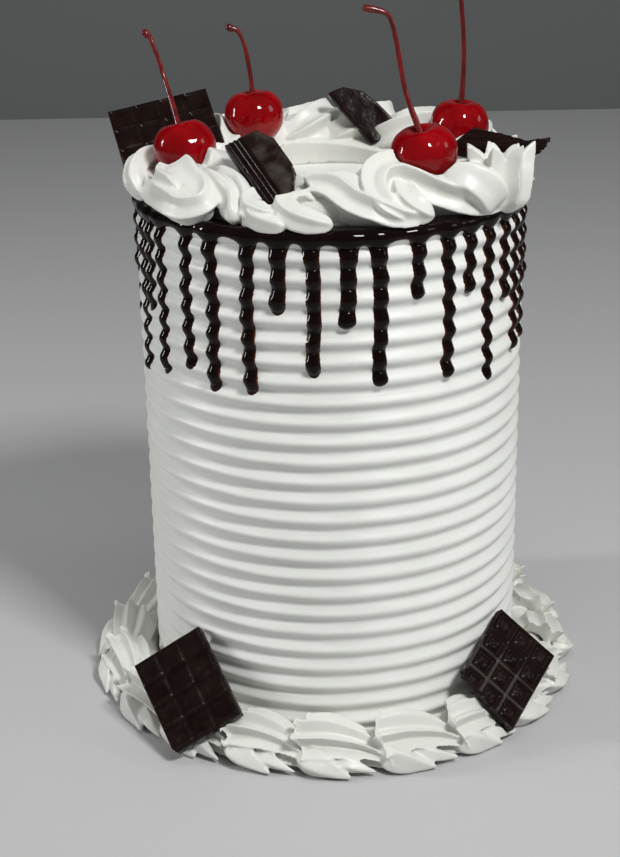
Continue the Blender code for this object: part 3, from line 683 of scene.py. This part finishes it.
def shell_mesh(azimuth, size, lean):
    """One piped shell: a thin fin at its head, flutes that fan out from it and a tail that turns outwards."""
    stations = catmull_rom(BASE_SHELL, SHELL_ROWS)
    sides = SHELL_CRESTS * STAR_SIDES
    turn = even_turns(sides)
    crest = turn - math.radians(SHELL_FIRST_CREST + lean)
    deeper, deep_side = SHELL_DEEPER
    hollow = SHELL_HOLLOW * np.abs(np.sin(0.5 * SHELL_CRESTS * crest)) ** CREST_SHARPNESS
    hollow = hollow * (1.0 + deeper * np.cos(turn - math.radians(deep_side)))
    reach, foremost = SHELL_SWEEP
    sweep = reach * np.abs(np.sin(0.5 * (turn - math.radians(foremost)))) ** SWEEP_ROUNDNESS
    share = np.linspace(0.0, 1.0, SHELL_ROWS)[:, None]
    radius = stations[:, 3:4] * (1.0 - hollow * smooth_step(0.0, SHELL_FLUTE_START, share))
    along = stations[:, 0:1] + sweep * (1.0 - share) ** SWEEP_FADE
    head = [radius[0] * part for part, _ in SHELL_MOUTH]
    radius = np.concatenate([head, radius])
    along = np.concatenate([[along[0] + depth for _, depth in SHELL_MOUTH], along])
    middle = np.concatenate([np.repeat(stations[:1, 1:3], len(SHELL_MOUTH), axis=0), stations[:, 1:3]])
    out = BORDER_RADIUS + size * (middle[:, 0:1] + radius * np.sin(turn))
    height = size * (middle[:, 1:2] + radius * np.cos(turn))
    angle = math.radians(azimuth) + size * along / BORDER_RADIUS
    points = MM * around(out, angle, height)
    return points.reshape(-1, 3), closed_faces(len(points), sides)


def bed_mesh(ring, base_height):
    """Plain torus that the swirls sink into."""
    radius, half_width, middle = (value * MM for value in ring)
    rows = 24
    columns = 180
    section = 2.0 * math.pi * np.arange(rows + 1) / rows
    turn_grid, section_grid = np.meshgrid(even_turns(columns), section)
    reach = radius + half_width * np.cos(section_grid)
    height = base_height + middle - half_width * np.sin(section_grid)
    points = around(reach, turn_grid, height)
    faces = grid_faces(rows + 1, columns, True)
    faces = np.where(faces >= rows * columns, faces - rows * columns, faces)
    return points[:rows].reshape(-1, 3), faces.tolist()


def bar_seat(node):
    """Block round a bar, a little larger, that clears its place in the cream."""
    columns, rows, square, thickness, centre, right, up = BARS[node][:7]
    clearance = TOP_CLEARANCE if "_top_" in node else BASE_CLEARANCE
    bpy.ops.mesh.primitive_cube_add(size=1.0)
    block = bpy.context.object
    depth = thickness * MM + 2.0 * SEAT_GAP + clearance
    size = (columns * square * MM + 2.0 * SEAT_GAP, rows * square * MM + 2.0 * SEAT_GAP, depth)
    lift = Matrix.Translation((0.0, 0.0, clearance + SEAT_GAP - 0.5 * depth))
    block.data.transform(bar_matrix(centre, right, up) @ lift @ Matrix.Diagonal((*size, 1.0)))
    return block


def cherry_seat(index):
    """Round-ended plug, open upwards, that presses a cherry's seat into the cream."""
    centre, size, _, _ = CHERRIES[index]
    radius = CHERRY_RADIUS * size * SEAT_LOOSENESS
    shape = bmesh.new()
    bmesh.ops.create_uvsphere(shape, u_segments=48, v_segments=24, radius=radius)
    for vert in shape.verts:
        if vert.co.z > 0.0:
            vert.co.z = SEAT_DEPTH * min(1.0, 3.0 * vert.co.z / radius)
    shape.transform(cherry_matrix(centre, SEAT_LEANS[index]))
    return new_object("seat", mesh_from(shape, "seat"))


def roughen(piece):
    """Moves the surface in and out by the cream's small wobbles."""
    vertices = piece.data.vertices
    points = np.empty(3 * len(vertices))
    vertices.foreach_get("co", points)
    points = points.reshape(-1, 3)
    normals = np.empty(3 * len(vertices))
    piece.data.vertex_normals.foreach_get("vector", normals)
    shift = sum(depth * noise_at(points, size, 6.0) for size, depth in UNEVENNESS)
    points = points + normals.reshape(-1, 3) * shift[:, None]
    vertices.foreach_set("co", points.ravel())
    piece.data.update()


def merge_bodies(name, bodies, seats, material, most_faces, node):
    """Runs closed bodies together into one soft body of cream, with seats pressed into it."""
    points = []
    faces = []
    for body_points, body_faces in bodies:
        offset = sum(len(block) for block in points)
        points.append(body_points)
        faces.extend([index + offset for index in face] for face in body_faces)
    piece = new_piece(name, mesh_of(name, np.concatenate(points), faces), material)
    modify(piece, "REMESH", mode="VOXEL", voxel_size=CREAM_VOXEL, use_smooth_shade=True)
    apply_modifiers(piece)
    roughen(piece)
    for seat in seats[1:]:
        cut_piece(piece, seat)
    modify(piece, "REMESH", mode="VOXEL", voxel_size=CREAM_VOXEL)
    modify(piece, "SMOOTH", factor=0.5, iterations=SOFTENING)
    apply_modifiers(piece)
    cut_piece(piece, seats[0])
    count = len(piece.data.polygons)
    if count > most_faces:
        modify(piece, "DECIMATE", ratio=most_faces / count)
        apply_modifiers(piece)
    piece.data.shade_smooth()
    place_piece(piece, node)


def turned_cutter(profile):
    """Closed solid of revolution from (radius, height) points in metres that run down its outer side."""
    shape = bmesh.new()
    row = [shape.verts.new((radius, 0.0, height)) for radius, height in profile]
    edges = [shape.edges.new(pair) for pair in zip(row, row[1:])]
    bmesh.ops.spin(shape, geom=row + edges, cent=(0.0, 0.0, 0.0), axis=(0.0, 0.0, 1.0),
                   angle=2.0 * math.pi, steps=CUT_STEPS, use_merge=True)
    bmesh.ops.remove_doubles(shape, verts=shape.verts, dist=0.01 * MM)
    bmesh.ops.recalc_face_normals(shape, faces=shape.faces)
    return new_object("cutter", mesh_from(shape, "cutter"))


def cake_seat():
    """The cake and its sauce band, as they press into the cream above and beside them."""
    side = CAKE_RADIUS + SAUCE_THICKNESS
    top = CAKE_HEIGHT + 0.4 * SEAT_GAP
    band = top + 0.6 * SAUCE_THICKNESS
    return turned_cutter(((0.0, top), (SAUCE_INNER_RADIUS, top), (SAUCE_INNER_RADIUS + BAND_EDGE, band),
                          (FLAT_RADIUS, band), (side, top - RIM_ROUNDING), (side, -PLUNGE), (0.0, -PLUNGE)))


def border_seat():
    """The cake's foot, and the ground under the border."""
    foot = CAKE_RADIUS - 0.5 * RIB_DEPTH
    high = 60.0 * MM
    wide = 160.0 * MM
    return turned_cutter(((0.0, high), (foot, high), (foot, 0.0), (wide, 0.0), (wide, -PLUNGE),
                          (0.0, -PLUNGE)))


def top_piece(name, paths, draw, material, most_faces):
    """One run of the top's swirls, with the cherries and bars pressed into it."""
    bodies = []
    for star, stations in paths:
        lean = draw.uniform(-20.0, 20.0)
        twist = draw.uniform(0.3, 1.0)
        bodies.append(rope_mesh(ring_path(stations, CAKE_HEIGHT), star, lean, twist))
    if name == "piped_top_back":
        bodies.append(bed_mesh(TOP_BED, CAKE_HEIGHT))
    else:
        crown = ring_path(CROWN_SWIRL, CAKE_HEIGHT)
        bodies.append(rope_mesh(crown, CROWN_STAR, CROWN_LEAN, CROWN_TWIST, CROWN_OPENING, CROWN_SINK))
    seats = [cake_seat(), *map(cherry_seat, range(len(CHERRIES)))]
    seats += [bar_seat(node) for node in BARS if "_top_" in node]
    merge_bodies(name, bodies, seats, material, most_faces, "top_cream")


def make_top_cream(material):
    draw = random.Random(3)
    back = [(ROSE_STAR, steps_to_stations(azimuth, TOP_RING_RADIUS, BACK_SWIRL, draw.uniform(*SIZE_RANGE)))
            for azimuth in BACK_SWIRLS]
    back.append((SMOOTH_STAR, INNER_STRAND))
    top_piece("piped_top_front", FRONT_SWIRLS, draw, material, FRONT_FACES)
    top_piece("piped_top_back", back, draw, material, BACK_FACES)


def make_base_border(material):
    draw = random.Random(5)
    runs = {"piped_border_front": [], "piped_border_back": [bed_mesh(BORDER_BED, 0.0)]}
    for index in range(BORDER_SHELLS):
        azimuth = BORDER_TURN + 360.0 * index / BORDER_SHELLS + draw.uniform(-1.0, 1.0)
        size = draw.uniform(*SIZE_RANGE)
        side = "front" if math.cos(math.radians(azimuth)) > 0.0 else "back"
        run = runs[f"piped_border_{side}"]
        run.append(shell_mesh(azimuth, size, draw.uniform(-6.0, 6.0)))
        for steps in (SHELL_LOBE, SHELL_TONGUE):
            fold = ring_path(steps_to_stations(azimuth, BORDER_RADIUS, steps, size), 0.0)
            run.append(rope_mesh(fold, TONGUE_STAR, draw.uniform(-25.0, 25.0), 0.5))
    for name, bodies in runs.items():
        seats = [border_seat(), *(bar_seat(node) for node in BARS if "_base_" in node)]
        most_faces = FRONT_FACES if name == "piped_border_front" else BACK_FACES
        merge_bodies(name, bodies, seats, material, most_faces, "base_border")


# ---------------- cherries

CHERRY_RADIUS = 11.6 * MM
CHERRIES = (  # centre in mm, size, lean of its axis towards +X and +Y in degrees, flatness
    ((-53.8, -18, 222.4), 1.01, (-14, 8), 1),
    ((-29.3, 30, 224.9), 1.02, (-6, 4), 0.98),
    ((33.2, -42, 224.4), 1.06, (-10, -4), 0.9),
    ((51.4, 18, 221.8), 1, (4, 0), 1),
)
CHERRY_COLUMNS = 100
CHERRY_ROWS = 64
DIMPLE_FLOOR = 0.62
DIMPLE_REACH = 0.36  # how far the dimple reaches from the axis, in radians
CHERRY_TAPER = 0.05
SEAT_LEANS = ((-20, -40), (0, -20), (15, -45), (10, -20))
SEAT_DEPTH = 18 * MM
SEAT_LOOSENESS = 1.04

STEM_RADIUS = 1 * MM
STEM_ROWS = 110
STEM_SIDES = 20
STEM_ROUGHNESS = 0.14  # share of the radius
STEMS = (  # points in mm up to the knob; the foot is in the cherry's dimple
    ((-61.1, -5, 245.3), (-64.5, -3, 256.1), (-66.2, -2, 260.4), (-67.6, -2, 261.9)),
    ((-30.1, 31, 238.5), (-32.1, 33, 250.8), (-34.7, 34, 256.9), (-37.8, 34, 258.5)),
    ((26.7, -39, 246.1), (23.9, -37, 261.6), (21.8, -36, 270.1), (19, -36, 272.9),
     (13.7, -36, 274.1)),
    ((52.8, 18, 247), (51.8, 19, 265.8), (50.4, 20, 275), (48, 20, 279)),
)


def cherry_matrix(centre, lean):
    tip_x = Matrix.Rotation(math.radians(lean[0]), 4, "Y")
    tip_y = Matrix.Rotation(math.radians(-lean[1]), 4, "X")
    return Matrix.Translation(Vector(centre) * MM) @ tip_y @ tip_x


def make_cherry(index, material):
    """A candied cherry: a dimple round the stem, a shallow seam down one side and a soft unevenness."""
    centre, size, lean, flatness = CHERRIES[index]
    draw = random.Random(20 + index)
    seam = draw.uniform(-0.5, 0.5) - 0.5 * math.pi
    shape = bmesh.new()
    bmesh.ops.create_uvsphere(shape, u_segments=CHERRY_COLUMNS, v_segments=CHERRY_ROWS, radius=1.0)
    for vert in shape.verts:
        away = math.acos(max(-1.0, min(1.0, vert.co.z)))
        turn = math.atan2(vert.co.y, vert.co.x)
        off_seam = math.atan2(math.sin(turn - seam), math.cos(turn - seam))
        dimple = (1.0 - DIMPLE_FLOOR) * math.exp(-(away / DIMPLE_REACH) ** 2)
        crease = 0.05 * math.exp(-(off_seam / 0.22) ** 2) * math.exp(-((away - 0.7) / 0.7) ** 2)
        lumps = 0.025 * noise.noise(vert.co * 1.3 + Vector((index, 0.0, 0.0)))
        wrinkles = 0.006 * noise.noise(vert.co * 5.0 + Vector((0.0, index, 0.0)))
        taper = 1.0 - CHERRY_TAPER * vert.co.z
        reach = CHERRY_RADIUS * size * (1.0 - dimple - crease + lumps + wrinkles)
        vert.co = Vector((vert.co.x * reach, vert.co.y * reach, vert.co.z * reach * flatness * taper))
    shape.transform(cherry_matrix(centre, lean))
    name = f"glazed_cherry_{index + 1}"
    place_piece(new_piece(name, mesh_from(shape, name), material), f"cherry_{index + 1}")


def tube_mesh(path, samples, sides, roughness):
    """Round tube along a path of (x, y, z, radius), closed at both ends, with an uneven skin."""
    centres, tangents, radii = follow(path, samples)
    angle = even_turns(sides)
    rings = []
    for i, (side, other) in enumerate(sides_along(tangents, np.array([1.0, 0.0, 0.0]))):
        circle = np.outer(np.cos(angle), side) + np.outer(np.sin(angle), other)
        rings.append(centres[i] + radii[i] * circle)
    points = np.array(rings)
    outward = points - centres[:, None, :]
    points = points + outward * (roughness * noise_at(points, 2.2 * MM, 4.0))[..., None]
    ends = np.array([centres[0], centres[-1]])
    faces = grid_faces(samples, sides, True).tolist()
    first = samples * sides
    for i in range(sides):
        faces.append([first, i, (i + 1) % sides])
        faces.append([first + 1, (samples - 1) * sides + (i + 1) % sides, (samples - 1) * sides + i])
    return np.concatenate([points.reshape(-1, 3), ends]), faces


def make_stem(index, material):
    """A stem that flares a little into the dimple and ends in a knob where it was picked."""
    centre, size, lean, flatness = CHERRIES[index]
    foot = cherry_matrix(centre, lean) @ Vector((0.0, 0.0, DIMPLE_FLOOR * CHERRY_RADIUS * size * flatness))
    points = [foot] + [Vector(point) * MM for point in STEMS[index]]
    path = []
    for i, point in enumerate(points):
        share = i / (len(points) - 1)
        knob = max(0.0, share - 0.7) / 0.3
        flare = 0.35 * max(0.0, 1.0 - 4.0 * share)
        path.append((*point, STEM_RADIUS * (0.88 + flare + 0.62 * knob)))
    heading = (points[-1] - points[-2]).normalized()
    path.append((*(points[-1] + heading * 1.3 * MM), STEM_RADIUS * 1.25))
    path.append((*(points[-1] + heading * 1.9 * MM), STEM_RADIUS * 0.4))
    name = f"picked_stem_{index + 1}"
    mesh = mesh_of(name, *tube_mesh(path, STEM_ROWS, STEM_SIDES, STEM_ROUGHNESS))
    place_piece(new_piece(name, mesh, material), f"stem_{index + 1}")


# ---------------- chocolate

# Columns, rows, square and thickness in mm, centre in mm, right, up, breaks, how much paler the raised parts
# are with a painted sheen, or the plain rest of a striped face (0 to 1), and the moulding.  That is the depth
# of its cells, the rise of their pads and the roughness of the pads in mm, or else the share of the width
# that is striped and whether the stripes lie across the rows.
BARS = {
    "chocolate_top_back_left": (
        4, 3, 10.1, 5, (-64.3, 26.2, 221.4), (0.96, 0.19, 0.18), (-0.26, 0.75, 0.60),
        (((-20.5, 15, 0), (-0.8, 0.5, 0.1)),), 0.25, (0.7, 0.2, 0.08)),
    "chocolate_top_front_left": (
        2, 4, 8.3, 5.2, (-23, -49, 222.4), (0.88, 0.32, 0.36), (-0.48, 0.71, 0.53),
        (((8.3, 9, 0), (1, 0.6, 0.1)), ((8.3, -4, 0), (1, -0.62, 0.2))), 0.34, (0.42, 0)),
    "chocolate_top_right": (
        4, 3, 9.6, 6, (69, -17, 223.2), (0.94, -0.34, -0.09), (0.40, 0.91, 0),
        (((-19, 12.5, 0), (0.44, 0.9, 0.1)), ((21.5, 0, 5), (0.6, 0, -1)),
         ((11.8, 0, 0), (1, 0.1, 0.1))), 0.2, (0.75, 1)),
    "chocolate_base_left": (
        3, 4, 10, 5, (-58.8, -72.9, 24.4), (0.85, 0.10, 0.51), (-0.41, 0.73, 0.55),
        (((-15, -18, 0), (-1, -0.4, 0)),), 0, (0.28, 0.06, 0.04)),
    "chocolate_base_right": (
        3, 4, 9.7, 5, (66.6, -60.5, 23.8), (0.73, -0.13, -0.67), (0.51, 0.76, 0.40),
        (((-8, -19.4, 0), (-1, -0.9, 0.1)), ((9, -19, 0), (-0.2, -1, 0))), 0.6,
        (1, 0.45, 0.22)),
}
SHARD_CENTRE = (12.3, 38.5, 220.9)
SHARD_RIGHT = (1, 0.05, 0)
SHARD_UP = (0, 0.43, 0.90)
SHARD_THICKNESS = 4.4
SHARD_OUTLINE = (
    (5.2, -10.8), (-12, 10.4), (-5.6, 12.8), (2.4, 10.8), (8.4, 5.6), (15.2, -2.4), (11.2, -8.8),
)
LATTICE_HALF_WIDTH = 0.5
LATTICE_CROWN = 0.3  # rise of a lattice line's middle over its sides, as a share of the cells' depth
CELL_SLOPE = 0.9
BAR_STEP = 0.43
STRIPE_PITCH = 1.9
STRIPE_DEPTH = 0.9
PLAIN_ROUGHNESS = 0.2
SHEEN_DEPTH = (1.3, 0.5)  # painted sheen of a face at height 0, before it is held to 1, and the mm that take 1 off it
SHEEN_FADE = (12, -6)  # the painted sheen is gone at the first of these places along the bar, and full at the second
SHARD_VOXEL = 0.34


def bar_matrix(centre, right, up):
    """Frame of a bar: its columns run along right, its rows along up, and its face looks out."""
    x_axis = Vector(right).normalized()
    y_axis = Vector(up)
    y_axis = (y_axis - x_axis * y_axis.dot(x_axis)).normalized()
    z_axis = x_axis.cross(y_axis)
    turn = Matrix((x_axis, y_axis, z_axis)).transposed().to_4x4()
    return Matrix.Translation(Vector(centre) * MM) @ turn


def line_distance(place, count, square):
    """Distance in mm to the nearest line of the moulding, which has count squares across."""
    steps = place / square + 0.5 * count
    return np.abs(steps - np.round(steps)) * square


def cell_relief(x, y, columns, rows, square, cell_depth, pad_rise):
    """Height in mm of a moulded face: thin lattice lines round sunk cells, each with a low rough pad."""
    from_line = np.minimum(line_distance(x, columns, square), line_distance(y, rows, square))
    sunk = smooth_step(LATTICE_HALF_WIDTH, LATTICE_HALF_WIDTH + CELL_SLOPE, from_line)
    ridge = np.clip(1.0 - (from_line / LATTICE_HALF_WIDTH) ** 2, 0.0, 1.0)
    pad = smooth_step(0.22 * square, 0.29 * square, from_line)
    return pad_rise * pad - cell_depth * (sunk - LATTICE_CROWN * ridge) - LATTICE_CROWN * cell_depth, pad


def striped_relief(x, y, columns, rows, square, share, way):
    """Height in mm of a face with long rounded ridges along one side and a nearly plain rest."""
    away = x + 0.5 * columns * square if way == 0 else y + 0.5 * rows * square
    width = (columns, rows)[way] * square * share
    ridges = np.abs(np.cos(math.pi * away / STRIPE_PITCH))
    inside = 1.0 - smooth_step(width - 0.6, width + 0.2, away)
    return -STRIPE_DEPTH * (1.0 - ridges) * inside - 0.5 * (1.0 - inside), 1.0 - inside


def bar_body(node, seed):
    """Closed slab in mm with the moulded relief on its face and a slightly wavy back."""
    columns, rows, square, thickness = BARS[node][:4]
    across = round(columns * square / BAR_STEP)
    along = round(rows * square / BAR_STEP)
    x, y = np.meshgrid(np.linspace(-0.5, 0.5, across + 1) * columns * square,
                       np.linspace(-0.5, 0.5, along + 1) * rows * square)
    sheen_and_paling, moulding = BARS[node][8:]
    if len(moulding) == 2:
        relief, pad = striped_relief(x, y, columns, rows, square, *moulding)
        roughness = PLAIN_ROUGHNESS
        # the plain rest of a striped face is paler
        paled = sheen_and_paling * pad
    else:
        cell_depth, pad_rise, roughness = moulding
        relief, pad = cell_relief(x, y, columns, rows, square, cell_depth, pad_rise)
        # painted sheen: the raised lattice and pads paler, full low on the bar and gone higher up
        level, growth = SHEEN_DEPTH
        paled = sheen_and_paling * np.clip(level + relief / growth, 0.0, 1.0) * smooth_step(*SHEEN_FADE, y)
    flat = np.stack([x, y, np.zeros_like(x)], axis=-1)
    relief += pad * roughness * noise_at(flat, 1.1, seed) + 0.18 * noise_at(flat, 6.0, seed + 1.0)
    edge = np.minimum(0.5 * columns * square - np.abs(x), 0.5 * rows * square - np.abs(y))
    relief -= 0.45 * np.clip(1.0 - edge / 0.7, 0.0, 1.0) ** 2
    top = np.stack([x, y, relief], axis=-1)
    back = np.stack([x, y, -thickness + 0.12 * noise_at(flat, 4.0, seed + 2.0)], axis=-1)
    count = x.size
    width = across + 1
    face = grid_faces(along + 1, width, False)
    faces = face[:, ::-1].tolist() + (face + count).tolist()
    rim = list(range(width))
    rim += [i * width + across for i in range(1, along + 1)]
    rim += [along * width + j for j in range(across - 1, -1, -1)]
    rim += [i * width for i in range(along - 1, 0, -1)]
    faces += [[there, here, here + count, there + count] for here, there in zip(rim, rim[1:] + rim[:1])]
    return np.concatenate([top.reshape(-1, 3), back.reshape(-1, 3)]), faces, paled.reshape(-1)


def rough_cutter(point, normal, seed):
    """Block in mm whose near face is a broken, granular plane through point; normal points into the block."""
    shape = bmesh.new()
    bmesh.ops.create_grid(shape, x_segments=110, y_segments=110, size=26.0)
    low = list(shape.verts)
    for vert in low:
        place = vert.co.copy()
        rise = 0.7 * noise.noise(place * 0.22 + Vector((seed, 0.0, 0.0)))
        rise += 0.28 * noise.noise(place * 0.9 + Vector((0.0, seed, 0.0)))
        rise += 0.10 * noise.noise(place * 2.6 + Vector((0.0, 0.0, seed)))
        vert.co.z = rise
    top = bmesh.ops.extrude_face_region(shape, geom=list(shape.faces))
    for item in top["geom"]:
        if isinstance(item, bmesh.types.BMVert):
            item.co.z = PLUNGE / MM
    bmesh.ops.recalc_face_normals(shape, faces=shape.faces)
    turn = Vector(normal).to_track_quat("Z", "Y").to_matrix().to_4x4()
    shape.transform(Matrix.Translation(Vector(point)) @ turn)
    return new_object("break", mesh_from(shape, "break"))


def cut_piece(piece, cutter):
    """Takes the cutter away from the piece, and removes the cutter."""
    modify(piece, "BOOLEAN", operation="DIFFERENCE", object=cutter, solver="MANIFOLD")
    apply_modifiers(piece)
    mesh = cutter.data
    bpy.data.objects.remove(cutter, do_unlink=True)
    bpy.data.meshes.remove(mesh)


def finish_chocolate(piece, matrix, node, rounds):
    """Takes the sharpest edges off, and sets the piece from mm in its own frame to its place."""
    modify(piece, "SMOOTH", factor=0.5, iterations=rounds)
    apply_modifiers(piece)
    piece.data.transform(matrix @ Matrix.Scale(MM, 4))
    piece.data.shade_smooth()
    piece.data.set_sharp_from_angle(angle=math.radians(55.0))
    place_piece(piece, node)


def make_bars(material):
    for seed, (node, bar) in enumerate(BARS.items()):
        centre, right, up, breaks = bar[4:8]
        vertices, faces, paled = bar_body(node, 3.0 * seed)
        mesh = mesh_of(f"{node}_piece", vertices, faces)
        # painted sheen and paling of the face; none on the back
        set_numbers(mesh, "sheen_and_paling", np.concatenate([paled, 0.0 * paled]))
        piece = new_piece(f"{node}_piece", mesh, material)
        for index, (point, normal) in enumerate(breaks):
            cut_piece(piece, rough_cutter(point, normal, 10.0 * seed + index))
        finish_chocolate(piece, bar_matrix(centre, right, up), node, 1)


def make_shard(material):
    """Thick flat shard: finely meshed faces, a granular broken edge and softly rounded corners."""
    shape = bmesh.new()
    outline = [shape.verts.new((x, y, -0.5 * SHARD_THICKNESS)) for x, y in SHARD_OUTLINE]
    base = shape.faces.new(outline)
    raised = bmesh.ops.extrude_face_region(shape, geom=[base])
    for item in raised["geom"]:
        if isinstance(item, bmesh.types.BMVert):
            item.co.z = 0.5 * SHARD_THICKNESS
    bmesh.ops.recalc_face_normals(shape, faces=shape.faces)
    name = "chocolate_top_back_piece"
    piece = new_piece(name, mesh_from(shape, name), material)
    modify(piece, "REMESH", mode="VOXEL", voxel_size=SHARD_VOXEL)
    apply_modifiers(piece)
    for vert in piece.data.vertices:
        place = vert.co.copy()
        rough = 0.22 * noise.noise(place * 0.18) + 0.05 * noise.noise(place * 0.7)
        vert.co = place + vert.normal * rough
    finish_chocolate(piece, bar_matrix(SHARD_CENTRE, SHARD_RIGHT, SHARD_UP), "chocolate_top_back", 4)


# ---------------- stage, light and camera

CAMERA_PLACE = (-9.22 * MM, -642.88 * MM, 354.16 * MM)
CAMERA_PITCH = math.radians(21.392)
CAMERA_ROLL = -0.017865
CAMERA_LENS = 71.165
CAMERA_SENSOR = 36
WORLD_COLOUR = (0.66, 0.68, 0.70, 1)
WORLD_STRENGTH = 0.21
LIT_PLACE = (0, 0, 0.12)
LIGHTS = (  # name, azimuth, elevation, distance, width, height and power; "over" casts no glints
    ("key", 35, 48, 1.3, 0.24, 0.24, 12.2),
    ("left", -88, 19, 1.2, 0.08, 0.36, 5.2),
    ("right", 80, 30, 1.2, 0.3, 0.3, 0.9),
    ("over", 0, 85, 1.2, 0.7, 0.7, 2.9),
)


def make_camera():
    data = bpy.data.cameras.new("camera")
    data.lens = CAMERA_LENS
    data.sensor_fit = "AUTO"
    data.sensor_width = CAMERA_SENSOR
    data.clip_start = 0.02
    camera = new_object("camera", data)
    level = Matrix.Rotation(0.5 * math.pi - CAMERA_PITCH, 4, "X")
    roll = Matrix.Rotation(CAMERA_ROLL, 4, "Z")
    camera.matrix_world = Matrix.Translation(CAMERA_PLACE) @ level @ roll
    bpy.context.scene.camera = camera


def add_stage(name, material_name, grey, place, tilt):
    bpy.ops.mesh.primitive_plane_add(size=8.0, location=place, rotation=(tilt, 0.0, 0.0))
    plane = bpy.context.object
    plane.name = name
    plane.data.materials.append(new_material(material_name, grey, 0.8, 0.15))


def add_light(name, azimuth, elevation, distance, width, height, power):
    """Soft area light that looks at the cake's middle; azimuth 0 is over the camera."""
    data = bpy.data.lights.new(name, "AREA")
    data.shape = "RECTANGLE"
    data.size = width
    data.size_y = height
    data.energy = power
    light = new_object(name, data)
    rise = math.radians(elevation)
    back = direction(azimuth) * math.cos(rise) + Vector((0.0, 0.0, math.sin(rise)))
    light.location = Vector(LIT_PLACE) + back * distance
    light.rotation_euler = back.to_track_quat("Z", "Y").to_euler()
    light.visible_glossy = name != "over"


def make_studio():
    """A pale floor, a grey wall well behind the cake, and soft lights from four sides."""
    add_stage("floor", "pale_floor", (0.50, 0.50, 0.50), (0.0, 0.0, -0.0003), 0.0)
    add_stage("wall", "grey_wall", (0.16, 0.165, 0.165), (0.0, 1.2, 0.0), 0.5 * math.pi)
    world = bpy.data.worlds.new("studio")
    bpy.context.scene.world = world
    world.use_nodes = True
    set_inputs(world.node_tree.nodes["Background"], {"Color": WORLD_COLOUR, "Strength": WORLD_STRENGTH})
    for light in LIGHTS:
        add_light(*light)
    bpy.context.scene.view_settings.view_transform = "Standard"


# ---------------- the whole

def main():
    make_camera()
    make_studio()
    icing = cream_material("white_icing", (0.83, 0.835, 0.80), (0.79, 0.80, 0.76), 0.42)
    cream = cream_material("whipped_cream", (0.74, 0.74, 0.695), (0.71, 0.715, 0.67), 0.36)
    make_icing(icing)
    make_sauce(sauce_material())
    make_top_cream(cream)
    make_base_border(cream)
    cherry = cherry_material()
    stem = stem_material()
    for index in range(len(CHERRIES)):
        make_cherry(index, cherry)
        make_stem(index, stem)
    chocolate = chocolate_material()
    make_bars(chocolate)
    make_shard(chocolate)


main()
